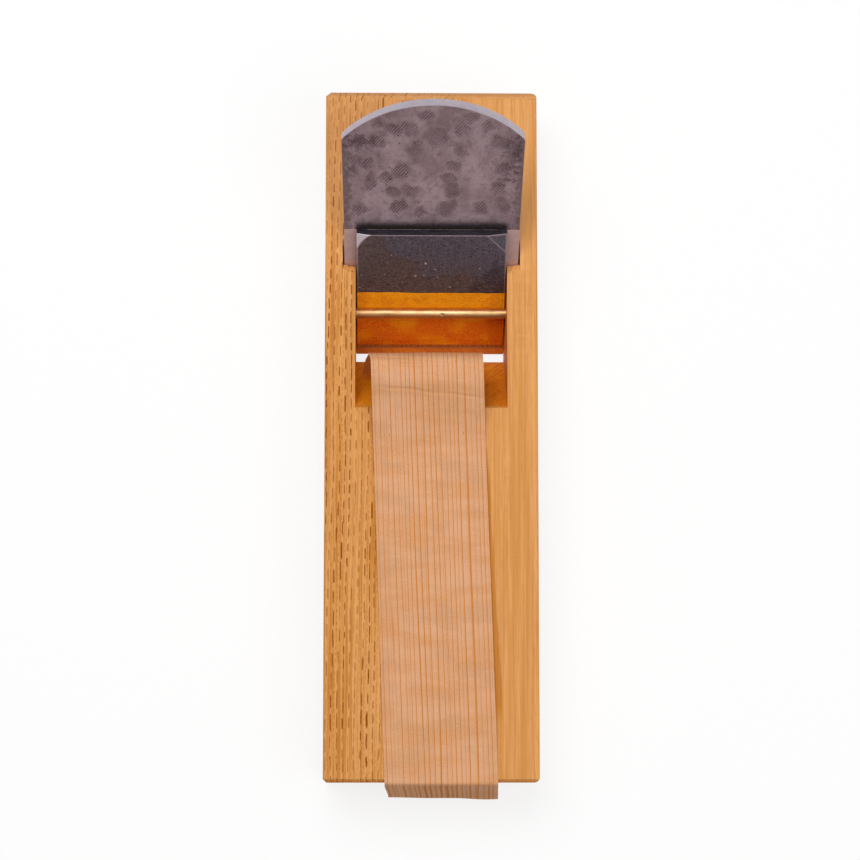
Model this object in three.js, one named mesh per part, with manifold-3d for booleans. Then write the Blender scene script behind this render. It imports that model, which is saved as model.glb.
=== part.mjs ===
// A Japanese hand plane (kanna): an oak body with a laminated blade, a laminated chipbreaker, the steel
// pin that wedges them, a strip of rust-preventive paper and one long shaving lying over the body.
// Millimetres, +Z up. The origin is the centre of the sole, +Y runs to the rear, where the blade's head is.
import * as THREE from 'three';
import { mergeVertices } from 'three/addons/utils/BufferGeometryUtils.js';
import { ConvexGeometry } from 'three/addons/geometries/ConvexGeometry.js';
import Module from 'manifold-3d';

const wasm = await Module();
wasm.setup();
const radians = THREE.MathUtils.degToRad;

// Wooden body
const bodyLength = 273.6;
const bodyWidth = 84;
const bodyHeight = 35;
const rearTopChamfer = 3.3;
const frontTopChamfer = 1.4;
const longEdgeBreak = 0.5;
const soleEdgeBreak = 0.8;
const rearCornerChamfer = 2;
const frontCornerChamfer = 1.4;
const cornerRadius = 2.2;
const mouthFromFront = 169.4;
const mouthGap = 3.2;
const throatLean = 23.4;
const throatRimChamfer = 1.2;
const bedAngle = radians(45);

// Lip of each blade groove: how far its sharp tip is cut back on the top and down the groove wall, by hand,
// so that the two sides differ
const leftLip = { side: -1, setbackInner: 5.5, setbackOuter: 4, cutInner: 3.4, cutOuter: 1.8 };
const rightLip = { side: 1, setbackInner: 5, setbackOuter: 4.6, cutInner: 2.6, cutOuter: 1.8 };

// Blade, measured along its face from the cutting edge
const bladeLength = 119.3;
const bladeWidth = 68.9;
const bladeHeadWidth = 70.3;
const bladeEdgeWidth = 59.6;
const bladeCornerLength = 14;
const bladeHeadRadius = 48;
const bladeHeadThickness = 7;
const bladeBackChamfer = 2.4;
const bladeShoulderRound = 1.8;
const bladeTaper = radians(1.5);
const bladeBevelAngle = radians(28);
const bladeSideShift = 0;
const bladeEdgeLift = 0.1;
const steelLength = 62.1;
const steelThickness = 1.3;
const steelFeatherAngle = radians(30);

// Chipbreaker
const chipbreakerLength = 59.3;
const chipbreakerWidth = 59;
const chipbreakerSetback = 3.3;
const chipbreakerTopThickness = 3.9;
const chipbreakerLowThickness = 3.2;
const chipbreakerTopLift = 0.6;
const chipbreakerBevelLength = 4.5;
const chipSteelLength = 20;
const chipSteelThickness = 1;
const earDrop = 1.4;
const earFootLength = 4;

// Ears: the curve is the power of the superellipse that bounds the ear, where 1 is a straight line
const leftEar = { side: -1, width: 5.2, length: 6, curve: 1.4, facets: 8 };
const rightEar = { side: 1, width: 6.6, length: 6.2, curve: 1, facets: 1 };

// Pin and paper
const pinDiameter = 4;
const pinFromEdge = 25.7;
const pinSeatDepth = 5;
const pinEndRecess = 0.6;
const pinEndChamfer = 0.3;
const paperThickness = 0.25;
const paperTopFromEdge = 34.9;
const paperSideInset = 0.1;

// Shaving
const shavingWidth = 44;
const shavingThickness = 0.4;
const shavingSkew = radians(2);
const shavingSideShift = -0.95;
const shavingOverhang = 6.4;
const shavingDroop = 17;
const shavingBendOut = 1.4;
const shavingBendDrop = 1.6;
const shavingShoulderOut = 0.5;
const shavingShoulderDrop = 0.12;
const shavingBendRun = 1.5;
const shavingFrontRun = 9;
const shavingLanding = 13;
const shavingArchRise = 9.5;
const shavingFoldReach = 21.9;
const shavingTailDrift = 3.7;

// Points of the shaving's side view, as shares of the sizes above
const droopOutShare = 0.55;
const droopDownShare = 0.5;
const archFootShare = 0.08;
const archRimShare = 0.5;
const archMiddleReachShare = 0.5;
const archMiddleShare = 0.93;
const archCrownReachShare = 0.82;
const archCrownShare = 0.86;
const foldRiseShare = 0.1;
const tailBackShare = 0.03;
const tailMiddleShare = 0.7;
const tailFootShare = 0.3;

// Clearances
const bedClearance = 0.25;
const faceClearance = 0.25;
const slotSideClearance = 0.7;
const throatSideClearance = 0.5;
const chipbreakerGap = 0.3;
const weldGap = 0.02;
const paperGap = 0.1;
const pinGap = 0.2;
const pinHoleClearance = 0.15;
const shavingGap = 0.3;

// Working values for the booleans and the facets
const overrun = 3;
const weldTolerance = 1e-4;
const arcSegments = 40;
const roundSegments = 8;
const pinSegments = 32;
const shavingStations = 220;

// Places that follow from the sizes
const halfLength = bodyLength / 2;
const halfWidth = bodyWidth / 2;
const throatWidth = chipbreakerWidth + 2 * throatSideClearance;
const mouthFrontY = mouthFromFront - halfLength;
const frontRimY = mouthFrontY - throatLean;
const edgeY = mouthFrontY + mouthGap;
const faceAngle = bedAngle + bladeTaper;
const bladeRootThickness = bladeHeadThickness - bladeLength * Math.tan(bladeTaper);
const bevelHeel = bladeRootThickness / (Math.tan(bladeBevelAngle) - Math.tan(bladeTaper));
const bladePlace = new THREE.Matrix4().makeRotationX(faceAngle).setPosition(bladeSideShift, edgeY, bladeEdgeLift);
const slotPlace = bladePlace.clone().setPosition(0, edgeY, bladeEdgeLift);

// Thickness of the blade below its face, at a distance from the cutting edge
function bladeBack(along) {
  return bladeRootThickness + along * Math.tan(bladeTaper);
}

// Solids, booleans and meshes
function toSolid(geometry) {
  const bare = new THREE.BufferGeometry();
  bare.setAttribute('position', geometry.getAttribute('position'));
  if (geometry.index) bare.setIndex(geometry.index);
  const merged = mergeVertices(bare, weldTolerance);
  return new wasm.Manifold(new wasm.Mesh({
    numProp: 3,
    vertProperties: new Float32Array(merged.getAttribute('position').array),
    triVerts: new Uint32Array(merged.index.array),
  }));
}

function toGeometry(solid) {
  const mesh = solid.getMesh();
  const geometry = new THREE.BufferGeometry();
  geometry.setAttribute('position', new THREE.BufferAttribute(mesh.vertProperties, 3));
  geometry.setIndex(new THREE.BufferAttribute(mesh.triVerts, 1));
  return geometry;
}

function namedMesh(name, geometry, color, roughness, metalness) {
  const flat = geometry.index ? geometry.toNonIndexed() : geometry;
  flat.computeVertexNormals();
  const mesh = new THREE.Mesh(flat, new THREE.MeshStandardMaterial({ color, roughness, metalness }));
  mesh.name = name;
  return mesh;
}

function shapeOf(points) {
  return new THREE.Shape(points.map(([a, b]) => new THREE.Vector2(a, b)));
}

// An outline given as [y, z], run along X between two places
function alongX(points, from, to) {
  const geometry = new THREE.ExtrudeGeometry(shapeOf(points), { depth: to - from, bevelEnabled: false });
  const turn = new THREE.Matrix4().makeBasis(
    new THREE.Vector3(0, 1, 0), new THREE.Vector3(0, 0, 1), new THREE.Vector3(1, 0, 0));
  return geometry.translate(0, 0, from).applyMatrix4(turn);
}

// An outline given as [z, x], run along Y between two places
function alongY(points, from, to) {
  const geometry = new THREE.ExtrudeGeometry(shapeOf(points), { depth: to - from, bevelEnabled: false });
  const turn = new THREE.Matrix4().makeBasis(
    new THREE.Vector3(0, 0, 1), new THREE.Vector3(1, 0, 0), new THREE.Vector3(0, 1, 0));
  return geometry.translate(0, 0, from).applyMatrix4(turn);
}

// A plan outline run along Z between two heights
function alongZ(shape, from, to, curveSegments) {
  const geometry = new THREE.ExtrudeGeometry(shape, { depth: to - from, bevelEnabled: false, curveSegments });
  return geometry.translate(0, 0, from);
}

// Plan outline of the body: plain cut corners on the left, rounded corners on the right
function bodyPlan() {
  const plan = new THREE.Shape();
  plan.moveTo(-halfWidth + frontCornerChamfer, -halfLength);
  plan.lineTo(halfWidth - cornerRadius, -halfLength);
  plan.absarc(halfWidth - cornerRadius, -halfLength + cornerRadius, cornerRadius, -Math.PI / 2, 0);
  plan.lineTo(halfWidth, halfLength - cornerRadius);
  plan.absarc(halfWidth - cornerRadius, halfLength - cornerRadius, cornerRadius, 0, Math.PI / 2);
  plan.lineTo(-halfWidth + rearCornerChamfer, halfLength);
  plan.lineTo(-halfWidth, halfLength - rearCornerChamfer);
  plan.lineTo(-halfWidth, -halfLength + frontCornerChamfer);
  plan.closePath();
  return plan;
}

function bodyBlock() {
  const block = toSolid(alongZ(bodyPlan(), 0, bodyHeight, roundSegments));
  const sideView = alongX([
    [-halfLength + soleEdgeBreak, 0],
    [halfLength - soleEdgeBreak, 0],
    [halfLength, soleEdgeBreak],
    [halfLength, bodyHeight - rearTopChamfer],
    [halfLength - rearTopChamfer, bodyHeight],
    [-halfLength + frontTopChamfer, bodyHeight],
    [-halfLength, bodyHeight - frontTopChamfer],
    [-halfLength, soleEdgeBreak],
  ], -halfWidth, halfWidth);
  const endView = alongY([
    [0, -halfWidth + soleEdgeBreak],
    [soleEdgeBreak, -halfWidth],
    [bodyHeight - longEdgeBreak, -halfWidth],
    [bodyHeight, -halfWidth + longEdgeBreak],
    [bodyHeight, halfWidth - longEdgeBreak],
    [bodyHeight - longEdgeBreak, halfWidth],
    [soleEdgeBreak, halfWidth],
    [0, halfWidth - soleEdgeBreak],
  ], -halfLength, halfLength);
  return block.intersect(toSolid(sideView)).intersect(toSolid(endView));
}

// The bed is the 45 degree ramp under the blade, set off from the blade's back by its clearance
function bedFootY() {
  const heelY = edgeY + bevelHeel * Math.cos(faceAngle) + bladeBack(bevelHeel) * Math.sin(faceAngle);
  const heelZ = bladeEdgeLift + bevelHeel * Math.sin(faceAngle) - bladeBack(bevelHeel) * Math.cos(faceAngle);
  return heelY - heelZ / Math.tan(bedAngle) + bedClearance / Math.sin(bedAngle);
}

// Front wall of the throat, from the chamfered rim down to the mouth
const wallRun = (throatLean - throatRimChamfer) / (bodyHeight - throatRimChamfer);

function frontWallY(height) {
  return mouthFrontY - height * wallRun;
}

function throatCut() {
  const bedRun = 1 / Math.tan(bedAngle);
  const foot = bedFootY();
  return toSolid(alongX([
    [frontWallY(-overrun), -overrun],
    [foot - overrun * bedRun, -overrun],
    [foot + (bodyHeight + overrun) * bedRun, bodyHeight + overrun],
    [frontRimY - overrun, bodyHeight + overrun],
    [frontRimY, bodyHeight],
    [frontRimY + throatRimChamfer, bodyHeight - throatRimChamfer],
  ], -throatWidth / 2, throatWidth / 2));
}

// The groove in each cheek that holds one side of the blade: the blade's outline with side clearance,
// between the bed and a wall set off from the blade's face
function slotCut() {
  const half = bladeWidth / 2 + slotSideClearance;
  const edgeHalf = bladeEdgeWidth / 2 + slotSideClearance;
  const reach = (bodyHeight + overrun) / Math.sin(bedAngle) + overrun;
  const plan = shapeOf([
    [-edgeHalf, 0], [edgeHalf, 0], [half, bladeCornerLength],
    [half, reach], [-half, reach], [-half, bladeCornerLength],
  ]);
  const column = toSolid(alongZ(plan, -bladeHeadThickness - overrun, faceClearance).applyMatrix4(slotPlace));
  const bedRun = 1 / Math.tan(bedAngle);
  const foot = bedFootY();
  const aboveBed = toSolid(alongX([
    [foot, 0],
    [foot + (bodyHeight + overrun) * bedRun, bodyHeight + overrun],
    [frontRimY, bodyHeight + overrun],
    [frontRimY, 0],
  ], -half - overrun, half + overrun));
  return column.intersect(aboveBed);
}

// Wall of the groove as a line in the side view
function grooveWallY(height) {
  return edgeY + (height - bladeEdgeLift) / Math.tan(faceAngle) - faceClearance / Math.sin(faceAngle);
}

// The skewed cut that blunts the sharp lip of one groove
function lipCut({ side, setbackInner, setbackOuter, cutInner, cutOuter }) {
  const inner = side * (throatWidth / 2 - overrun);
  const outer = side * (bladeWidth / 2 + slotSideClearance);
  const tip = grooveWallY(bodyHeight);
  const run = Math.tan(faceAngle);
  const points = [];
  for (const [x, setback, cut] of [[inner, setbackInner, cutInner], [outer, setbackOuter, cutOuter]]) {
    const top = new THREE.Vector3(x, tip - setback, bodyHeight);
    const low = new THREE.Vector3(x, tip - cut, bodyHeight - cut * run);
    const above = top.clone().addScaledVector(low.clone().sub(top), -1);
    const behind = new THREE.Vector3(x, tip + overrun, above.z);
    points.push(above, low, behind, new THREE.Vector3(x, tip, bodyHeight));
  }
  return toSolid(new ConvexGeometry(points));
}

// Section of the chipbreaker: distances along the blade's face and heights above it
const chipEdge = chipbreakerSetback;
const chipTop = chipbreakerSetback + chipbreakerLength;
const chipUnderTop = chipbreakerGap + chipbreakerTopLift;
const chipFaceTop = chipUnderTop + chipbreakerTopThickness;
const chipArris = chipEdge + chipbreakerBevelLength;
const chipFaceLow = chipbreakerGap + chipbreakerLowThickness;

function chipFaceHeight(along) {
  return chipFaceLow + (along - chipArris) / (chipTop - chipArris) * (chipFaceTop - chipFaceLow);
}

function chipUnderHeight(along) {
  return chipbreakerGap + (along - chipEdge) / chipbreakerLength * chipbreakerTopLift;
}

// Place of the pin, pressed down on the paper that covers the chipbreaker
const pinHeight = chipFaceHeight(pinFromEdge) + paperGap + paperThickness + pinGap + pinDiameter / 2;
const pinPlace = new THREE.Vector3(0, pinFromEdge, pinHeight).applyMatrix4(slotPlace);
const pinLeftEnd = -throatWidth / 2 - pinSeatDepth;
const pinRightEnd = halfWidth - pinEndRecess;

function rodAlongX(radius, from, to) {
  const rod = new THREE.CylinderGeometry(radius, radius, to - from, pinSegments);
  return rod.rotateZ(Math.PI / 2).translate((from + to) / 2, pinPlace.y, pinPlace.z);
}

function buildBody() {
  const pinHole = rodAlongX(pinDiameter / 2 + pinHoleClearance, pinLeftEnd - pinHoleClearance, halfWidth + overrun);
  const solid = bodyBlock()
    .subtract(throatCut())
    .subtract(slotCut())
    .subtract(lipCut(leftLip))
    .subtract(lipCut(rightLip))
    .subtract(toSolid(pinHole));
  return namedMesh('dai_body', toGeometry(solid), 0xd9a066, 0.55, 0);
}

function buildPin() {
  const radius = pinDiameter / 2;
  const length = pinRightEnd - pinLeftEnd;
  const profile = [
    [0, 0], [radius - pinEndChamfer, 0], [radius, pinEndChamfer],
    [radius, length - pinEndChamfer], [radius - pinEndChamfer, length], [0, length],
  ];
  const rod = new THREE.LatheGeometry(profile.map(([r, y]) => new THREE.Vector2(r, y)), pinSegments);
  const placed = rod.rotateZ(-Math.PI / 2).translate(pinLeftEnd, pinPlace.y, pinPlace.z);
  return namedMesh('press_pin', toGeometry(toSolid(placed)), 0xc9a25a, 0.3, 0.9);
}

// Plan outline of the blade: x across, y along the face from the cutting edge
function bladePlan() {
  const half = bladeWidth / 2;
  const headHalf = bladeHeadWidth / 2;
  const arcHalf = headHalf - bladeShoulderRound / 2;
  const centre = bladeLength - bladeHeadRadius;
  const shoulder = centre + Math.sqrt(bladeHeadRadius ** 2 - arcHalf ** 2);
  const arcEnd = Math.acos(arcHalf / bladeHeadRadius);
  const plan = new THREE.Shape();
  plan.moveTo(-bladeEdgeWidth / 2, 0);
  plan.lineTo(bladeEdgeWidth / 2, 0);
  plan.lineTo(half, bladeCornerLength);
  plan.lineTo(half, steelLength);
  plan.lineTo(headHalf, shoulder - bladeShoulderRound);
  plan.quadraticCurveTo(headHalf, shoulder - bladeShoulderRound / 2, arcHalf, shoulder);
  plan.absarc(0, centre, bladeHeadRadius, arcEnd, Math.PI - arcEnd);
  plan.quadraticCurveTo(-headHalf, shoulder - bladeShoulderRound / 2, -headHalf, shoulder - bladeShoulderRound);
  plan.lineTo(-half, steelLength);
  plan.lineTo(-half, bladeCornerLength);
  plan.closePath();
  return plan;
}

// Side view of the blade: [distance from the cutting edge, height over the face]
function bladeSection() {
  const end = bladeLength + overrun;
  return alongX([
    [0, 0], [bevelHeel, -bladeBack(bevelHeel)], [end, -bladeBack(end)], [end, 0],
  ], -bladeHeadWidth, bladeHeadWidth);
}

// A disc with a chamfered lower rim, joined to a slab that leaves the straight sides alone
function headTrim() {
  const deep = -bladeBack(bladeLength);
  const centre = bladeLength - bladeHeadRadius;
  const disc = new THREE.LatheGeometry([
    new THREE.Vector2(0, deep - overrun),
    new THREE.Vector2(bladeHeadRadius - bladeBackChamfer - overrun, deep - overrun),
    new THREE.Vector2(bladeHeadRadius - bladeBackChamfer, deep),
    new THREE.Vector2(bladeHeadRadius, deep + bladeBackChamfer),
    new THREE.Vector2(bladeHeadRadius, overrun),
    new THREE.Vector2(0, overrun),
  ], 2 * arcSegments);
  const slabEnd = bladeLength - (bladeHeadRadius - Math.sqrt(bladeHeadRadius ** 2 - (bladeHeadWidth / 2) ** 2));
  const slab = alongX([
    [-overrun, deep - overrun], [slabEnd, deep - overrun], [slabEnd, overrun], [-overrun, overrun],
  ], -bladeHeadWidth, bladeHeadWidth);
  return toSolid(disc.rotateX(Math.PI / 2).translate(0, centre, 0)).add(toSolid(slab));
}

// The hard steel plate welded into the face, feathered out at its upper end
function steelZone(gap) {
  const depth = steelThickness + gap;
  return toSolid(alongX([
    [-overrun, -depth],
    [steelLength - depth / Math.tan(steelFeatherAngle), -depth],
    [steelLength + overrun / Math.tan(steelFeatherAngle) + gap, overrun],
    [-overrun, overrun],
  ], -bladeHeadWidth, bladeHeadWidth));
}

function buildBlade() {
  const plan = alongZ(bladePlan(), -bladeHeadThickness - overrun, 0, arcSegments);
  const blank = toSolid(plan).intersect(toSolid(bladeSection())).intersect(headTrim());
  const iron = blank.subtract(steelZone(weldGap));
  const steel = blank.intersect(steelZone(0));
  return [
    namedMesh('blade_iron', toGeometry(iron), 0x6e6268, 0.5, 0.8),
    namedMesh('blade_steel', toGeometry(steel), 0x9a8a86, 0.3, 0.9),
  ];
}

// One bent ear: the plate's upper corner falls away towards the blade, in a fan of facets from a curve to a
// point beyond the corner
function earCut({ side, width, length, curve, facets }) {
  const reach = overrun / length;
  const middle = 1 - 2 ** (-1 / curve);
  const deepest = earDrop * (middle + reach) / middle;
  const place = (across, down, height) => new THREE.Vector3(
    side * (chipbreakerWidth / 2 - across * width), chipTop - down * length, height);
  const tip = place(-reach, -reach, chipFaceTop - deepest);
  const above = place(-reach, -reach, chipFaceTop + overrun);
  const rim = [];
  for (let i = 0; i <= facets; i += 1) {
    const turn = i / facets * Math.PI / 2;
    rim.push([1 - Math.sin(turn) ** (2 / curve), 1 - Math.cos(turn) ** (2 / curve)]);
  }
  const wedges = rim.slice(1).map((next, index) => {
    const corners = [rim[index], next];
    return toSolid(new ConvexGeometry([
      tip, above,
      ...corners.map(([across, down]) => place(across, down, chipFaceTop)),
      ...corners.map(([across, down]) => place(across, down, chipFaceTop + overrun)),
    ]));
  });
  return wedges.reduce((cut, wedge) => cut.add(wedge));
}

function earFoot(side) {
  const outer = side * chipbreakerWidth / 2;
  const inner = side * (chipbreakerWidth / 2 - earFootLength);
  const points = [];
  for (const [x, along] of [[outer, chipTop], [inner, chipTop], [outer, chipTop - earFootLength]]) {
    points.push(new THREE.Vector3(x, along, chipbreakerGap));
    points.push(new THREE.Vector3(x, along, chipUnderHeight(along) + chipSteelThickness));
  }
  return toSolid(new ConvexGeometry(points));
}

function chipSteelZone(gap) {
  const end = chipEdge + chipSteelLength + gap;
  return toSolid(alongX([
    [chipEdge - overrun, chipUnderHeight(chipEdge - overrun) - overrun],
    [end + overrun, chipUnderHeight(end + overrun) - overrun],
    [end, chipUnderHeight(end) + gap],
    [end - chipSteelThickness, chipUnderHeight(end) + chipSteelThickness + gap],
    [chipEdge - overrun, chipUnderHeight(chipEdge - overrun) + chipSteelThickness + gap],
  ], -chipbreakerWidth, chipbreakerWidth));
}

function buildChipbreaker() {
  const half = chipbreakerWidth / 2;
  let plate = toSolid(alongX([
    [chipEdge, chipbreakerGap], [chipTop, chipUnderTop], [chipTop, chipFaceTop], [chipArris, chipFaceLow],
  ], -half, half));
  plate = plate.add(earFoot(-1)).add(earFoot(1));
  plate = plate.subtract(earCut(leftEar)).subtract(earCut(rightEar));
  return [
    namedMesh('chipbreaker_iron', toGeometry(plate.subtract(chipSteelZone(weldGap))), 0x4a4046, 0.45, 0.8),
    namedMesh('chipbreaker_steel', toGeometry(plate.intersect(chipSteelZone(0))), 0x8c8078, 0.3, 0.9),
  ];
}

function buildPaper() {
  const half = chipbreakerWidth / 2 - paperSideInset;
  const low = chipArris + paperGap;
  const sheet = alongX([
    [low, chipFaceHeight(low) + paperGap],
    [paperTopFromEdge, chipFaceHeight(paperTopFromEdge) + paperGap],
    [paperTopFromEdge, chipFaceHeight(paperTopFromEdge) + paperGap + paperThickness],
    [low, chipFaceHeight(low) + paperGap + paperThickness],
  ], -half, half);
  return namedMesh('rust_paper', sheet, 0xd97b1c, 0.8, 0);
}

// Middle line of the shaving, from its drooping front end over the body, up in an arch over the throat
// and down behind its fold to a tail that leans on the throat's front wall
function shavingLine() {
  const lie = bodyHeight + shavingGap + shavingThickness / 2;
  const frontY = -halfLength - shavingOverhang;
  const landingY = frontRimY - shavingLanding;
  const foldY = frontRimY + shavingFoldReach;
  const tailZ = bodyHeight * tailFootShare;
  const tailY = frontWallY(tailZ) + shavingGap + shavingThickness;
  const side = [
    [frontY, bodyHeight - shavingDroop],
    [-halfLength - shavingOverhang * droopOutShare, bodyHeight - shavingDroop * droopDownShare],
    [-halfLength - shavingBendOut, bodyHeight - shavingBendDrop],
    [-halfLength - shavingShoulderOut, lie - shavingShoulderDrop],
    [-halfLength + shavingBendRun, lie],
    [-halfLength + shavingFrontRun, lie],
    [(landingY - halfLength) / 2, lie],
    [landingY - shavingLanding, lie],
    [landingY, lie + shavingArchRise * archFootShare],
    [frontRimY, lie + shavingArchRise * archRimShare],
    [frontRimY + shavingFoldReach * archMiddleReachShare, lie + shavingArchRise * archMiddleShare],
    [frontRimY + shavingFoldReach * archCrownReachShare, lie + shavingArchRise * archCrownShare],
    [foldY, lie + shavingArchRise * foldRiseShare],
    [foldY - shavingFoldReach * tailBackShare, bodyHeight * tailMiddleShare],
    [tailY, tailZ],
  ];
  return new THREE.CatmullRomCurve3(side.map(([y, z], index) => {
    const drift = index > side.length - 3 ? shavingTailDrift * (index + 3 - side.length) / 2 : 0;
    return new THREE.Vector3(shavingSideShift - y * Math.tan(shavingSkew) - drift, y, z);
  }), false, 'centripetal');
}

function buildShaving() {
  const line = shavingLine();
  const rings = [];
  for (let i = 0; i <= shavingStations; i += 1) {
    const share = i / shavingStations;
    const middle = line.getPointAt(share);
    const ahead = line.getTangentAt(share).setX(0).normalize();
    const normal = new THREE.Vector3(0, -ahead.z, ahead.y).multiplyScalar(shavingThickness / 2);
    const across = new THREE.Vector3(shavingWidth / 2, 0, 0);
    rings.push([
      middle.clone().sub(across).sub(normal),
      middle.clone().add(across).sub(normal),
      middle.clone().add(across).add(normal),
      middle.clone().sub(across).add(normal),
    ]);
  }
  const index = [];
  const sides = rings[0].length;
  for (let i = 0; i < shavingStations; i += 1) {
    for (let side = 0; side < sides; side += 1) {
      const a = i * sides + side;
      const b = i * sides + (side + 1) % sides;
      index.push(a, b + sides, b, a, a + sides, b + sides);
    }
  }
  const last = shavingStations * sides;
  index.push(0, 1, 2, 0, 2, 3, last, last + 2, last + 1, last, last + 3, last + 2);
  const geometry = new THREE.BufferGeometry().setFromPoints(rings.flat());
  geometry.setIndex(index);
  return namedMesh('wood_shaving', geometry, 0xe3b184, 0.7, 0);
}

const plane = new THREE.Group();
plane.add(buildBody(), buildPin(), buildShaving());

const bladeGroup = new THREE.Group();
bladeGroup.position.set(bladeSideShift, edgeY, bladeEdgeLift);
bladeGroup.rotation.x = faceAngle;
bladeGroup.add(...buildBlade(), ...buildChipbreaker(), buildPaper());
plane.add(bladeGroup);

export default plane;
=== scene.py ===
"""The looks of a Japanese hand plane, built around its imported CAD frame.

Metres, +Z up, origin at the centre of the sole and +Y to the rear, as in the frame. Sizes are written in
millimetres and brought to metres by MM. The blade group has its own axes: across, along the blade's face
from the cutting edge, and height over that face.
"""

import math

import bmesh
import bpy
import numpy as np
from mathutils import Matrix, Vector, noise


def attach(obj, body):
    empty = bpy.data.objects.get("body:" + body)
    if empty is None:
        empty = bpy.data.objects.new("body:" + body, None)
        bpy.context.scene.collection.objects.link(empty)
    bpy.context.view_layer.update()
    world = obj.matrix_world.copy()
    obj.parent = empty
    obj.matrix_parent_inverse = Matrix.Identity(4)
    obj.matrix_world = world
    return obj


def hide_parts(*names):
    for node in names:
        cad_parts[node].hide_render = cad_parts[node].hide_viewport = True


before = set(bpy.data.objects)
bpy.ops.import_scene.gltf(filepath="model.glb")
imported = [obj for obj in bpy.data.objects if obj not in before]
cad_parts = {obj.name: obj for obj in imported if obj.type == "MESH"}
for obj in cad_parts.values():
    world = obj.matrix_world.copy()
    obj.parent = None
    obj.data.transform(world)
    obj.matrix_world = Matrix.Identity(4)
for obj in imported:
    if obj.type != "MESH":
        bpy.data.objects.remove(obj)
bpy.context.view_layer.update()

MM = 0.001

# Body, as the CAD part has it
BODY_LENGTH = 273.6
HALF_LENGTH = BODY_LENGTH / 2
BODY_HEIGHT = 35
THROAT_HALF = 30
MOUTH_FRONT_Y = 32.6
FRONT_RIM_Y = 9.2
RIM_CHAMFER = 1.2
WALL_RUN = (MOUTH_FRONT_Y - FRONT_RIM_Y - RIM_CHAMFER) / (BODY_HEIGHT - RIM_CHAMFER)

# Shaving, as the CAD part has it
SHAVING_WIDTH = 44
SHAVING_SKEW = math.tan(math.radians(2))
SHAVING_SHIFT = -0.95

# Blade group, as the CAD part has it
FACE_ANGLE = math.radians(46.5)
BLADE_ORIGIN = (0, 35.8, 0.1)
BLADE_TAPER = math.tan(math.radians(1.5))
BLADE_ROOT = 3.876
BEVEL_SLOPE = math.tan(math.radians(28))
BEVEL_HEEL = 7.67
BLADE_LENGTH = 119.3
BLADE_HALF = 34.45
BLADE_HEAD_HALF = 35.15
BLADE_EDGE_HALF = 29.8
BLADE_CORNER = 14
BLADE_HEAD_RADIUS = 48
SHOULDER_ROUND = 1.8
STEEL_LENGTH = 62.1
STEEL_POCKET = 1.32
STEEL_FEATHER = math.tan(math.radians(30))
CHIP_EDGE = 3.3
CHIP_TOP = 62.6
CHIP_HALF = 29.5
CHIP_ARRIS = 7.8
CHIP_LOW_HEIGHT = 3.5
CHIP_TOP_HEIGHT = 4.8
CHIP_UNDER_LOW = 0.3
CHIP_UNDER_TOP = 0.9
PIN_ALONG = 25.7
PIN_RADIUS = 2
PIN_LEFT = -35
PIN_RIGHT = 41.4
PAPER_TOP = 34.9
PAPER_THICKNESS = 0.25
PAPER_GAP = 0.1
PIN_GAP = 0.2


def srgb(red, green, blue):
    """A colour as it looks on the screen, 0 to 255, as the linear values that a shader takes."""
    def linear(level):
        share = level / 255
        return share / 12.92 if share <= 0.04045 else ((share + 0.055) / 1.055) ** 2.4
    return (linear(red), linear(green), linear(blue))


# Shader nodes
def forward(operation):
    return lambda a, b: a.graph.math(operation, a, b)


def backward(operation):
    return lambda a, b: a.graph.math(operation, b, a)


class Value:
    """An output socket that is added, multiplied and so on like a number, each time by a Math node."""

    def __init__(self, graph, socket):
        self.graph = graph
        self.socket = socket

    def __abs__(self):
        return self.graph.math("ABSOLUTE", self)

    __add__ = forward("ADD")
    __radd__ = backward("ADD")
    __sub__ = forward("SUBTRACT")
    __rsub__ = backward("SUBTRACT")
    __mul__ = forward("MULTIPLY")
    __rmul__ = backward("MULTIPLY")
    __truediv__ = forward("DIVIDE")


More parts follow.
